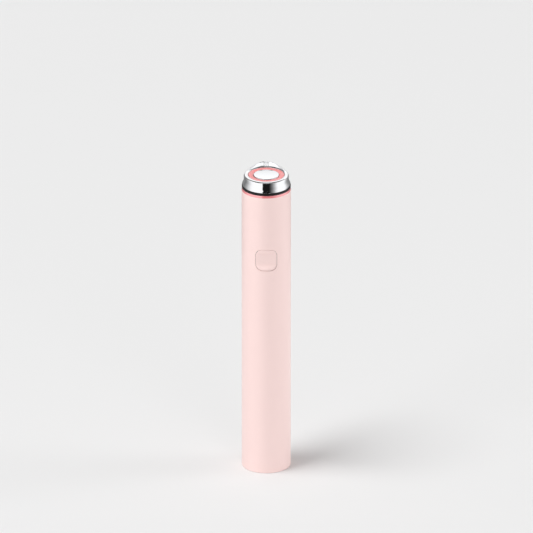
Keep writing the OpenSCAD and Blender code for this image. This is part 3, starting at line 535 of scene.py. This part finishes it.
electrode = turned("centre_disc", [
    (stem_r, disc_low.z, 0.15 * mm),
    (stem_r, ledge_z, 0),
    (disc_r, ledge_z, 0.1 * mm),
    (disc_r, crown_z(disc_r), disc_edge),
] + [(r, crown_z(r), 0) for r in (
    (disc_r - disc_edge) * (1 - i / crown_steps) - 0.02 * mm for i in range(crown_steps))],
    solid=True)
smooth(electrode)
chrome_bright = srgb(243, 244, 246)
bright_chrome = new_finish("bright_chrome", chrome_bright, 0.06, metallic=1.0)
set_input(bright_chrome, "Roughness",
          span(bright_chrome, noise(bright_chrome, 3 * mm), 0.3, 0.7, 0.045, 0.08))
relief(bright_chrome, (noise(bright_chrome, 0.2 * mm), 0.0004 * mm))
electrode.data.materials.append(bright_chrome)
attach(electrode, "body")
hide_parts("centre_electrode")


# Black insulating ring
# A moulded ring of black plastic that parts the chromed collar from the tube. It is pressed
# between the two, with a lip that hangs over the tube's edge and a shoulder in the collar.
neck_r = 9.7 * mm
black_low, black_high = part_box("insulator_ring")
black_lip_h = 0.35 * mm
black_lip_r = 11.32 * mm
black_r = 11.42 * mm
black_shoulder = 0.25 * mm
black_seat_r = 11.22 * mm
collar_skirt_r = 11.1 * mm
black_ring = turned("black_ring", [
    (neck_r, black_low.z, 0),
    (black_seat_r, black_low.z, 0),
    (black_lip_r, black_low.z - black_lip_h, 0),
    (black_r, black_low.z - black_lip_h, 0.03 * mm),
    (black_r, black_high.z - 2 * black_shoulder, 0),
    (collar_skirt_r - 0.02 * mm, black_high.z - black_shoulder, 0),
    (collar_skirt_r - 0.02 * mm, black_high.z, 0),
    (neck_r, black_high.z, 0),
])
smooth(black_ring)
moulded_black = new_finish("moulded_black", srgb(15, 16, 17), 0.4, Specular_IOR_Level=0.3)
set_input(moulded_black, "Base Color", two_tone(
    moulded_black, noise(moulded_black, 2 * mm), srgb(13, 14, 15), srgb(20, 21, 22)))
relief(moulded_black, (noise(moulded_black, 0.3 * mm), 0.004 * mm))
black_ring.data.materials.append(moulded_black)
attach(black_ring, "body")
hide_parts("insulator_ring")


# Chromed collar
# A die casting, polished and plated with bright chrome: a flared wall, a straight neck, a flat
# rim, and a lobe that rises from the back of the rim. It snaps on the neck of the head.
collar_low, collar_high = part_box("head_collar")
collar_r = collar_high.x - 0.15 * mm
collar_z = collar_low.z
rim_r = 10.5 * mm
rim_in_r = light_r + 0.1 * mm
rim_edge = 0.7 * mm
rim_in_edge = 0.3 * mm
lip_t = 1.2 * mm
neck_h = 2 * mm
foot_h = 0.4 * mm
flare_low = collar_z + foot_h
flare_top = rim_z - neck_h
flare_h = flare_top - flare_low
flare_out = collar_r - rim_r
flare_lean = math.radians(27)
flare_r = ((math.tan(flare_lean) * flare_h - flare_out)
           / (math.sin(flare_lean) * math.tan(flare_lean) + math.cos(flare_lean) - 1))
flare_steps = 12
lobe_h = collar_high.z - rim_z
lobe_foot_r = rim_r - 1.6 * mm
lobe_top_r = rim_r - 0.4 * mm
lobe_fillet = 0.25 * mm
lobe_soft = 0.01 * mm
lobe_crown_r = 12.5 * mm
lobe_reach = rim_r - 0.2 * mm
lobe_front = 1.5 * mm
lobe_fade = 2 * mm
lobe_rings = 20
lobe_full = 0.5 * mm
lobe_sharp = 0.85


def flare(z):
    """Radius of the collar's flare at a height: a hollow arc that ends in a straight cone."""
    drop = flare_top - z
    straight = max(drop - flare_r * math.sin(flare_lean), 0)
    arc = drop - straight
    return (rim_r + flare_r - math.sqrt(flare_r ** 2 - arc ** 2)
            + straight * math.tan(flare_lean))


def lobe_outline(x):
    """Height of the lobe seen from the front: a round crown with two hollow flanks."""
    flank_r = (lobe_reach ** 2 + lobe_h ** 2) / (2 * lobe_h) - lobe_crown_r
    meet_x = lobe_reach * lobe_crown_r / (lobe_crown_r + flank_r)
    x = abs(x)
    if x < meet_x:
        return lobe_h - lobe_crown_r + math.sqrt(lobe_crown_r ** 2 - x * x)
    if x < lobe_reach:
        return flank_r - math.sqrt(flank_r ** 2 - (lobe_reach - x) ** 2)
    return 0


def lobe_rise(x, y):
    """How far the rim is raised at a place: a leaning face with a hollow foot, and a crest."""
    past_front = min(max((y - lobe_front) / lobe_fade, 0), 1)
    top = lobe_outline(x) * past_front
    past_foot = min(math.hypot(x, y), rim_r) - lobe_foot_r
    slope = lobe_h / (lobe_top_r - lobe_foot_r)
    face = slope * max(past_foot, 0)
    if abs(past_foot) < lobe_fillet:
        face = slope * (past_foot + lobe_fillet) ** 2 / (4 * lobe_fillet)
    if top <= 0 or face <= 0:
        return 0
    blend = min(lobe_soft, top)
    share = min(max(0.5 + (top - face) / (2 * blend), 0), 1)
    return top + (face - top) * share - blend * share * (1 - share)


collar_rings = [
    (neck_r, collar_z, 0),
    (collar_skirt_r, collar_z, 0),
    (collar_skirt_r, collar_z - black_shoulder, 0),
    (collar_r, collar_z - black_shoulder, 0.02 * mm),
]
for i in range(flare_steps):
    z = flare_low + flare_h * i / flare_steps
    collar_rings.append((flare(z), z, 0))
collar_rings += [(rim_r, flare_top, 0), (rim_r, rim_z, rim_edge)]
face_out_r = rim_r - rim_edge
face_in_r = rim_in_r + rim_in_edge + 0.01 * mm
for i in range(1, lobe_rings):
    collar_rings.append((face_out_r - (face_out_r - face_in_r) * i / lobe_rings, rim_z, 0))
collar_rings += [
    (rim_in_r, rim_z, rim_in_edge),
    (rim_in_r, rim_z - lip_t, 0),
    (neck_r, rim_z - lip_t, 0),
]
collar = turned("chrome_collar", collar_rings)
bpy.ops.mesh.select_all(action="DESELECT")
mesh = bmesh.from_edit_mesh(collar.data)
for v in mesh.verts:
    if v.co.y > lobe_front and v.co.z > rim_z - rim_edge - 0.01 * mm:
        rise = lobe_rise(v.co.x, v.co.y)
        v.co.z += rise
        if math.hypot(v.co.x, v.co.y) > rim_r - rim_edge:
            v.co.z += (rim_z + rise - v.co.z) * min(rise / lobe_full, 1) * lobe_sharp
bmesh.update_edit_mesh(collar.data)
smooth(collar, 11)
collar.data.materials.append(bright_chrome)
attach(collar, "body")
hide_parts("head_collar")


# Body tube
# A drawn aluminium tube with a satin, pearl pink coat and a polished coral bevel at its top.
# It is made here as a flat sheet, cut and then rolled up. The sides of the button's opening
# lean back, so that they clear the button when it is pressed.
tube_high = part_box("body_tube")[1]
tube_r = tube_high.x
tube_len = tube_high.z
tube_wall = 1.2 * mm
foot_round = 0.3 * mm
bevel_h = 1.5 * mm
bevel_in = 0.3 * mm
groove_deep = 0.3 * mm
groove_half = 0.6 * mm
cap_groove_z = 4.48 * mm
head_groove_z = tube_len - 6.2 * mm
button_z = tube_len - 33.1 * mm
button_w = 9.9 * mm
button_h = 10.6 * mm
button_round = 3.2 * mm
button_gap = 0.07 * mm
opening_edge = 0.07 * mm
opening_lean = 0.14


def block(name, low, high):
    """A box between two corners, with its place in its mesh, left in edit mode."""
    deselect()
    centre = (Vector(low) + Vector(high)) / 2
    size = Vector(high) - Vector(low)
    bpy.ops.mesh.primitive_cube_add(size=1, location=centre, scale=size)
    piece = bpy.context.object
    piece.name = piece.data.name = name
    bpy.ops.object.transform_apply(location=True, rotation=True, scale=True)
    bpy.ops.object.mode_set(mode="EDIT")
    return piece


def round_corners(piece, radius, segments, axis=1):
    """Rounds a block's four edges that run along an axis."""
    pick(piece, "edges", lambda e: all(
        near(e.verts[0].co[i], e.verts[1].co[i]) for i in range(3) if i != axis))
    bpy.ops.mesh.bevel(offset=radius, segments=segments, affect="EDGES")


def combine(piece, tool, operation):
    """Cuts a tool out of a piece, or joins it on, and removes the tool."""
    bpy.ops.object.mode_set(mode="OBJECT")
    deselect()
    bpy.context.view_layer.objects.active = piece
    piece.select_set(True)
    cut = piece.modifiers.new("cut", "BOOLEAN")
    cut.operation = operation
    cut.object = tool
    cut.solver = "EXACT"
    bpy.ops.object.modifier_apply(modifier=cut.name)
    bpy.data.objects.remove(tool)


def cut_strips(width):
    """Cuts the flat piece in edit mode into upright strips."""
    strip = 2 * math.pi * tube_r / round_sides
    last = int(width / 2 / strip - 0.001)
    for i in range(-last, last + 1):
        bpy.ops.mesh.select_all(action="SELECT")
        bpy.ops.mesh.bisect(plane_co=(i * strip, 0, 0), plane_no=(1, 0, 0))


def roll_up(piece, width):
    """Bends a flat piece of a given width round the wand's axis."""
    bpy.ops.object.mode_set(mode="OBJECT")
    bend = piece.modifiers.new("bend", "SIMPLE_DEFORM")
    bend.deform_method = "BEND"
    bend.deform_axis = "Z"
    bend.angle = width / tube_r
    bpy.ops.object.modifier_apply(modifier=bend.name)
    piece.location.y = -tube_r
    bpy.ops.object.transform_apply(location=True, rotation=False, scale=False)


def laid_out(width):
    """Length round the tube of a width seen from the front."""
    return 2 * tube_r * math.asin(width / 2 / tube_r)


sheet_w = 2 * math.pi * tube_r
hole_half_w = laid_out(button_w + 2 * button_gap) / 2
hole_half_h = button_h / 2 + button_gap
tube = block("tube_shell", (-sheet_w / 2, 0, 0), (sheet_w / 2, tube_wall, tube_len))
for z in (tube_len - bevel_h, cap_groove_z - groove_half, cap_groove_z + groove_half,
          head_groove_z - groove_half, head_groove_z + groove_half):
    bpy.ops.mesh.select_all(action="SELECT")
    bpy.ops.mesh.bisect(plane_co=(0, 0, z), plane_no=(0, 0, 1))
pick(tube, "verts", lambda v: near(v.co.z, tube_len) and near(v.co.y, 0))
bpy.ops.transform.translate(value=(0, bevel_in, 0))
for z in (cap_groove_z, head_groove_z):
    pick(tube, "faces", lambda f: near(f.calc_center_median().z, z)
         and near(f.calc_center_median().y, tube_wall))
    bpy.ops.mesh.extrude_region_move(TRANSFORM_OT_translate={"value": (0, -groove_deep, 0)})
pick(tube, "edges", lambda e: all(near(v.co.z, 0) and near(v.co.y, 0) for v in e.verts))
bpy.ops.mesh.bevel(offset=foot_round, segments=8, affect="EDGES")
bpy.ops.object.mode_set(mode="OBJECT")

cutter_walls = (-1, 2)
cutter = block("opening",
               (-hole_half_w, cutter_walls[0] * tube_wall, button_z - hole_half_h),
               (hole_half_w, cutter_walls[1] * tube_wall, button_z + hole_half_h))
round_corners(cutter, button_round + button_gap, 12)
for walls in cutter_walls:
    pick(cutter, "faces", lambda f: near(f.calc_center_median().y, walls * tube_wall))
    bpy.ops.transform.resize(value=(1 + walls * opening_lean, 1, 1))
combine(tube, cutter, "DIFFERENCE")
bpy.ops.object.mode_set(mode="EDIT")
pick(tube, "edges", lambda e: all(
    near(v.co.y, 0) and abs(v.co.x) < hole_half_w + 0.01 * mm
    and abs(v.co.z - button_z) < hole_half_h + 0.01 * mm for v in e.verts))
bpy.ops.mesh.bevel(offset=opening_edge, segments=3, affect="EDGES")
pick(tube, "faces", lambda f: abs(abs(f.calc_center_median().x) - sheet_w / 2) < 0.001 * mm)
bpy.ops.mesh.delete(type="FACE")
cut_strips(sheet_w)
roll_up(tube, sheet_w)
smooth(tube)

shell_pink = srgb(249, 221, 217)
shell_shade = srgb(247, 219, 215)
pearl_pink = new_finish("satin_pearl_pink", shell_pink, 0.45, Coat_Weight=0.15,
                        Coat_Roughness=0.3)
set_input(pearl_pink, "Base Color",
          two_tone(pearl_pink, noise(pearl_pink, 6 * mm), shell_pink, shell_shade))
set_input(pearl_pink, "Roughness",
          span(pearl_pink, noise(pearl_pink, 0.4 * mm), 0.3, 0.7, 0.38, 0.46))
relief(pearl_pink, (noise(pearl_pink, 0.25 * mm), 0.003 * mm))
bevel_coral = srgb(255, 146, 150)
polished_coral = new_finish("polished_coral", bevel_coral, 0.3, Coat_Weight=1.0,
                            Coat_IOR=2.6, Coat_Roughness=0.12)
set_input(polished_coral, "Base Color", two_tone(
    polished_coral, noise(polished_coral, 1 * mm), bevel_coral, srgb(252, 140, 145)))
relief(polished_coral, (noise(polished_coral, 0.1 * mm, 2, (0.1, 0.1, 1)), 0.001 * mm))
tube.data.materials.append(pearl_pink)
tube.data.materials.append(polished_coral)
bpy.ops.object.mode_set(mode="EDIT")
pick(tube, "faces", lambda f: 0 < f.normal.z < 0.9
     and f.calc_center_median().z > tube_len - bevel_h)
tube.active_material_index = 1
bpy.ops.object.material_slot_assign()
bpy.ops.object.mode_set(mode="OBJECT")
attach(tube, "body")
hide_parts("body_tube")


# Push button
# A moulded cap, painted like the tube, that fills the opening flush. Its thumb dish deepens
# downwards and ends in a round scoop. Inside are a flange, a stem and two guide pins.
button_border = 1.2 * mm
button_low_gap = 0.14 * mm
button_rim = 0.5 * mm
dish_deep = 1.1 * mm
dish_top_deep = 0.8 * mm
scoop_r = 3.5 * mm
dish_end = button_h / 2 - button_border
scoop_z = math.sqrt(scoop_r ** 2 - (scoop_r - dish_deep) ** 2) - dish_end
dish_edge = 0.35 * mm
dish_edge_steps = 5
dish_rows = 26
cap_wall = 1.4 * mm
flange_t = 0.8 * mm
flange_reach = 1 * mm
flange_w_share = 0.9
draft = 0.96
cap_edge = 0.1 * mm
button_stem_d = 3.4 * mm
pin_d = 1.6 * mm
pin_pitch = 8.4 * mm
post_round = 0.15 * mm
posts_root = -9.7 * mm
stem_end = -9.08 * mm
pin_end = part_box("button_cap")[1].y

half_w = laid_out(button_w) / 2
half_h = button_h / 2
button = block("button", (-half_w, 0, button_z - half_h + button_low_gap),
               (half_w, cap_wall + flange_t / 2, button_z + half_h))
round_corners(button, button_round, 12)
pick(button, "faces", lambda f: f.normal.y > 0.9)
bpy.ops.transform.resize(value=(draft, 1, draft),
                         center_override=(0, cap_wall + flange_t / 2, button_z))
pick(button, "faces", lambda f: f.normal.y < -0.9)
bpy.ops.mesh.inset(thickness=button_rim)
dish_levels = [button_h * (i / dish_rows - 0.5) for i in range(2, dish_rows - 1)]
dish_levels += [dish_end - dish_edge * i / dish_edge_steps for i in range(dish_edge_steps + 1)]
for z in dish_levels:
    pick(button, "faces", lambda f: f.normal.y < -0.9 and near(f.calc_center_median().x, 0)
         and abs(f.calc_center_median().z - button_z) < half_h - button_rim)
    bpy.ops.mesh.bisect(plane_co=(0, 0, button_z + z), plane_no=(0, 0, 1))
pick(button, "edges", lambda e: all(near(v.co.y, 0) for v in e.verts)
     and len(e.link_faces) == 2 and e.calc_face_angle() > 0.2)
bpy.ops.mesh.bevel(offset=cap_edge, segments=3, affect="EDGES")
bpy.ops.object.mode_set(mode="OBJECT")
flange_half = half_h + button_gap + flange_reach
flange_half_w = half_w * flange_w_share
flange = block("flange", (-flange_half_w, cap_wall, button_z - flange_half),
               (flange_half_w, cap_wall + flange_t, button_z + flange_half))
round_corners(flange, button_round, 8)
combine(button, flange, "UNION")
bpy.ops.object.mode_set(mode="EDIT")
cut_strips(2 * half_w)


def dish(x, z):
    """Depth of the thumb dish, a trough that deepens downwards and ends in a round scoop."""
    if z > scoop_z:
        rise = (dish_deep - dish_top_deep) * (z - scoop_z) / (dish_end - scoop_z)
    else:
        drop = min(scoop_z - z, scoop_r)
        rise = scoop_r - math.sqrt(scoop_r ** 2 - drop ** 2)
    sagitta = tube_r * (1 - math.cos(x / tube_r))
    depth = max(dish_deep - rise - sagitta, 0)
    share = min(max((dish_end - z) / dish_edge, 0), 1)
    return depth * share * share * (3 - 2 * share)


mesh = bmesh.from_edit_mesh(button.data)
for v in mesh.verts:
    if near(v.co.y, 0):
        v.co.y += dish(v.co.x, v.co.z - button_z)
bmesh.update_edit_mesh(button.data)
roll_up(button, 2 * half_w)


def round_bar(name, diameter, y0, y1, z):
    """A bar from front to back with a small round at its inner end."""
    deselect()
    bpy.ops.mesh.primitive_cylinder_add(
        vertices=32, radius=diameter / 2, depth=y1 - y0,
        location=(0, (y0 + y1) / 2, z), rotation=(math.pi / 2, 0, 0))
    bar = bpy.context.object
    bar.name = name
    bpy.ops.object.transform_apply(location=True, rotation=True, scale=True)
    bpy.ops.object.mode_set(mode="EDIT")
    pick(bar, "edges", lambda e: all(near(v.co.y, y1) for v in e.verts))
    bpy.ops.mesh.bevel(offset=post_round, segments=3, affect="EDGES")
    bpy.ops.object.mode_set(mode="OBJECT")
    return bar


combine(button, round_bar("stem", button_stem_d, posts_root, stem_end, button_z), "UNION")
for side in (-1, 1):
    z = button_z + side * pin_pitch / 2
    combine(button, round_bar("pin", pin_d, posts_root, pin_end, z), "UNION")
smooth(button)
pink_paint = new_finish("satin_pink_paint", shell_pink, 0.45, Coat_Weight=0.15,
                        Coat_Roughness=0.3)
set_input(pink_paint, "Base Color",
          two_tone(pink_paint, noise(pink_paint, 4 * mm), shell_pink, shell_shade))
relief(pink_paint, (noise(pink_paint, 0.25 * mm), 0.003 * mm))
button.data.materials.append(pink_paint)
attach(button, "button")
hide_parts("button_cap")


# End cap
# A moulded plastic plate, level with the tube's foot, with a skirt of four snap fingers. The
# mouth of the charging socket is a chamfered slot in its middle.
cap_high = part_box("end_cap")[1]
cap_r = tube_r - tube_wall - 0.1 * mm
cap_t = 1.6 * mm
skirt_wall = 1.1 * mm
snap_reach = cap_high.x
snap_half = 0.5 * mm
mouth_w = 9.14 * mm
mouth_h = 3.46 * mm
mouth_chamfer = 0.3 * mm
finger_slot_w = 1.2 * mm
finger_slots = 4
base_cap = turned("base_cap", [
    (cap_r - skirt_wall, cap_t, 0.3 * mm),
    (cap_r - skirt_wall, cap_high.z, 0.15 * mm),
    (cap_r, cap_high.z, 0.15 * mm),
    (cap_r, cap_groove_z + snap_half, 0),
    (snap_reach, cap_groove_z, 0.08 * mm),
    (cap_r, cap_groove_z - snap_half, 0),
    (cap_r, 0, 0.3 * mm),
], solid=True)
bpy.ops.object.mode_set(mode="OBJECT")
mouth = block("mouth", (-mouth_w / 2, -mouth_h / 2, -1 * mm), (mouth_w / 2, mouth_h / 2, 3 * mm))
round_corners(mouth, mouth_h / 2 - 0.001 * mm, 12, axis=2)
combine(base_cap, mouth, "DIFFERENCE")
for i in range(finger_slots):
    slot = block("finger_slot",
                 (cap_r - skirt_wall - 0.4 * mm, -finger_slot_w / 2, cap_t + 0.8 * mm),
                 (snap_reach + 1 * mm, finger_slot_w / 2, cap_high.z + 1 * mm))
    bpy.ops.object.mode_set(mode="OBJECT")
    slot.rotation_euler.z = math.pi / 4 + 2 * math.pi * i / finger_slots
    bpy.ops.object.transform_apply(location=False, rotation=True, scale=False)
    combine(base_cap, slot, "DIFFERENCE")
bpy.ops.object.mode_set(mode="EDIT")
pick(base_cap, "edges", lambda e: all(
    near(v.co.z, 0) and abs(v.co.x) < mouth_w and abs(v.co.y) < mouth_h for v in e.verts)
    and len(e.link_faces) == 2 and e.calc_face_angle() > 0.5)
bpy.ops.mesh.bevel(offset=mouth_chamfer, segments=2, affect="EDGES")
smooth(base_cap)
matt_pink = new_finish("matt_pink_plastic", srgb(243, 216, 213), 0.55)
set_input(matt_pink, "Base Color", two_tone(
    matt_pink, noise(matt_pink, 4 * mm), srgb(244, 217, 214), srgb(240, 212, 209)))
relief(matt_pink, (noise(matt_pink, 0.2 * mm), 0.012 * mm))
base_cap.data.materials.append(matt_pink)
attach(base_cap, "body")
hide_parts("end_cap")


# Plain studio
# A pale floor, a soft lamp high on the left that casts the shadow, a small one overhead, three
# low fills and an even sky.
floor_white = 0.83
floor_size = 12
sky_strength = 0.34
backdrop_tone = srgb(238, 238, 238)
deselect()
bpy.ops.mesh.primitive_plane_add(size=floor_size, location=(0, 0, 0))
floor = bpy.context.object
floor.name = "floor"
floor_paint = new_finish("pale_floor", (floor_white, floor_white, floor_white), 1.0,
                         Specular_IOR_Level=0)
floor.data.materials.append(floor_paint)


def lamp(name, azimuth, elevation, distance, size, radiance):
    """A round soft lamp that looks at the wand. Azimuth 0 is the camera's side."""
    a, e = math.radians(azimuth), math.radians(elevation)
    out = Vector((math.sin(a) * math.cos(e), -math.cos(a) * math.cos(e), math.sin(e)))
    bpy.ops.object.light_add(type="AREA", location=Vector((0, 0, tube_len / 2)) + out * distance)
    light = bpy.context.object
    light.name = name
    light.rotation_euler = out.to_track_quat("Z", "Y").to_euler()
    light.data.shape = "DISK"
    light.data.size = size
    light.data.energy = radiance * math.pi * math.pi * size * size / 4
    light.visible_camera = False
    light.visible_glossy = False


lamp("key_lamp", -72, 66, 9.0, 4.2, 10.0)
lamp("top_box", -150, 86, 9.0, 1.6, 11.4)
lamp("left_fill", -50, 9, 6.0, 3.0, 4.0)
lamp("front_fill", 20, 9, 6.0, 3.0, 3.0)
lamp("right_fill", 95, 9, 6.0, 3.0, 6.4)

world = bpy.data.worlds.new("studio")
bpy.context.scene.world = world
world.use_nodes = True
nodes = world.node_tree.nodes
links = world.node_tree.links
sky_light = nodes["Background"]
sky_light.inputs["Color"].default_value = (1, 1, 1, 1)
sky_light.inputs["Strength"].default_value = sky_strength
backdrop = nodes.new("ShaderNodeBackground")
backdrop.inputs["Color"].default_value = (*backdrop_tone, 1)
rays = nodes.new("ShaderNodeLightPath")
seen = nodes.new("ShaderNodeMath")
seen.operation = "MAXIMUM"
seen_or_clear = nodes.new("ShaderNodeMath")
seen_or_clear.operation = "MAXIMUM"
choice = nodes.new("ShaderNodeMixShader")
links.new(rays.outputs["Is Camera Ray"], seen.inputs[0])
links.new(rays.outputs["Is Glossy Ray"], seen.inputs[1])
links.new(seen.outputs["Value"], seen_or_clear.inputs[0])
links.new(rays.outputs["Is Transmission Ray"], seen_or_clear.inputs[1])
links.new(seen_or_clear.outputs["Value"], choice.inputs["Fac"])
links.new(sky_light.outputs["Background"], choice.inputs[1])
links.new(backdrop.outputs["Background"], choice.inputs[2])
links.new(choice.outputs["Shader"], nodes["World Output"].inputs["Surface"])
bpy.context.scene.view_settings.view_transform = "Standard"


# Reflector cards
# A tall paper tube round the wand, toned light and dark from side to side, with white sheets
# in front of it, a dark card on top and a white patch under that. Only mirrors see them.
tent_r = 250 * mm
tent_top = 400 * mm
tent_sides = 180
card_gap = 4 * mm
paper_tones = [(-92, 0.76), (-84, 0.92), (-78, 1.03), (-66, 1.1), (-19.5, 1.1), (-17.5, 0.01),
               (14, 0.01), (20, 0.055), (30, 0.2), (41, 0.5), (51, 0.9), (60, 1.1), (92, 1.1),
               (100, 1.06), (106, 0.9), (112, 0.68), (120, 0.48), (128, 0.34), (140, 0.25),
               (215, 0.26), (234, 0.2), (251, 0.39), (260, 0.57), (268, 0.76)]
white_sheet = [(0, 1.15), (1, 1.15)]
sheets = [
    ("back_sheet", 130, 202, 238, 350, [(0, 0.9), (0.22, 1.15), (1, 1.15)]),
    ("low_back_sheet", 158, 202, 150, 238, [(0, 0.85), (1, 0.85)]),
    ("high_front_band", -18, 15, 312, 396, [(0, 0.95), (1, 0.95)]),
    ("front_band", -8, 8, 305, 310.5, white_sheet),
    ("near_left_band", -16, -8, 302, 308.5, white_sheet),
    ("near_right_band", 8, 16, 302, 308.5, white_sheet),
    ("left_band", -90, -16, 262, 325, white_sheet),
    ("right_band", 16, 30, 293, 309, white_sheet),
    ("far_right_band", 30, 46, 282, 303, white_sheet),
    ("side_right_band", 46, 90, 262, 296, white_sheet),
]
top_patch_y = -62 * mm
top_patch_w = 200 * mm
top_patch_d = 56 * mm
top_tones = [(0, 0.3), (0.16, 0.3), (0.24, 0.03), (1, 0.03)]


def card_finish(name, value, tones):
    """A finish that shines by a pattern run through a row of tones, from 0 to 1."""
    finish = new_finish(name, (0, 0, 0), 1.0, Specular_IOR_Level=0, Emission_Strength=1.0)
    row = add_node(finish, "ValToRGB", Fac=value(finish))
    marks = row.color_ramp.elements
    marks.remove(marks[1])
    for i, (place, tone) in enumerate(tones):
        mark = marks.new(place) if i else marks[0]
        mark.position = place
        mark.color = (tone, tone, tone, 1)
    set_input(finish, "Emission Color", row.outputs["Color"])
    return finish


def round_the_wand(finish):
    """Goes once from 0 to 1 round the wand, with 0.25 on the camera's side."""
    node = add_node(finish, "TexGradient", Vector=point_on(finish))
    node.gradient_type = "RADIAL"
    return node.outputs["Fac"]


def out_from_axis(finish):
    """Distance from the wand's axis, as a share of the paper tube's radius."""
    place = add_node(finish, "SeparateXYZ", Vector=point_on(finish))
    flat = add_node(finish, "CombineXYZ", X=place.outputs["X"], Y=place.outputs["Y"])
    node = add_node(finish, "VectorMath", Vector=flat.outputs["Vector"])
    node.operation = "LENGTH"
    return span(finish, node.outputs["Value"], 0, tent_r)


def only_for_mirrors(card, name, finish):
    """Names a card, gives it its finish and hides it from all but mirrors."""
    card.name = name
    card.data.materials.append(finish)
    card.visible_camera = False
    card.visible_diffuse = False
    card.visible_shadow = False
    card.visible_transmission = False


def round_card(name, radius, azimuths, heights, finish):
    """A stretch of an upright tube of paper round the wand. Azimuth 0 is the camera's side."""
    low, high = heights
    deselect()
    bpy.ops.mesh.primitive_cylinder_add(
        vertices=tent_sides, radius=radius, depth=high - low, location=(0, 0, (low + high) / 2),
        end_fill_type="NOTHING")
    card = bpy.context.object
    bpy.ops.object.transform_apply(location=True, rotation=False, scale=False)
    bpy.ops.object.mode_set(mode="EDIT")
    pick(card, "faces", lambda f: (math.degrees(math.atan2(
        f.calc_center_median().x, -f.calc_center_median().y)) - azimuths[0]) % 360
        > azimuths[1] - azimuths[0])
    bpy.ops.mesh.delete(type="FACE")
    bpy.ops.object.mode_set(mode="OBJECT")
    only_for_mirrors(card, name, finish)


round_card("paper_tube", tent_r, (-180, 180), (0, tent_top), card_finish(
    "toned_paper", round_the_wand, [(0.25 + a / 360, tone) for a, tone in paper_tones]))
for name, left, right, low, high, tones in sheets:
    low *= mm
    high *= mm
    round_card(name, tent_r - card_gap, (left, right), (low, high), card_finish(
        name, lambda finish: span(finish, add_node(
            finish, "SeparateXYZ", Vector=point_on(finish)).outputs["Z"], low, high), tones))

deselect()
bpy.ops.mesh.primitive_circle_add(
    vertices=tent_sides, radius=tent_r, location=(0, 0, tent_top), fill_type="NGON")
bpy.ops.object.transform_apply(location=True, rotation=False, scale=False)
only_for_mirrors(bpy.context.object, "top_card",
                 card_finish("top_card", out_from_axis, top_tones))

deselect()
bpy.ops.mesh.primitive_plane_add(size=1, location=(0, top_patch_y, tent_top - card_gap))
bpy.context.object.scale = (top_patch_w, top_patch_d, 1)
bpy.ops.object.transform_apply(location=True, rotation=False, scale=True)
only_for_mirrors(bpy.context.object, "top_patch", card_finish(
    "top_patch", out_from_axis, [(0, 1), (1, 1)]))
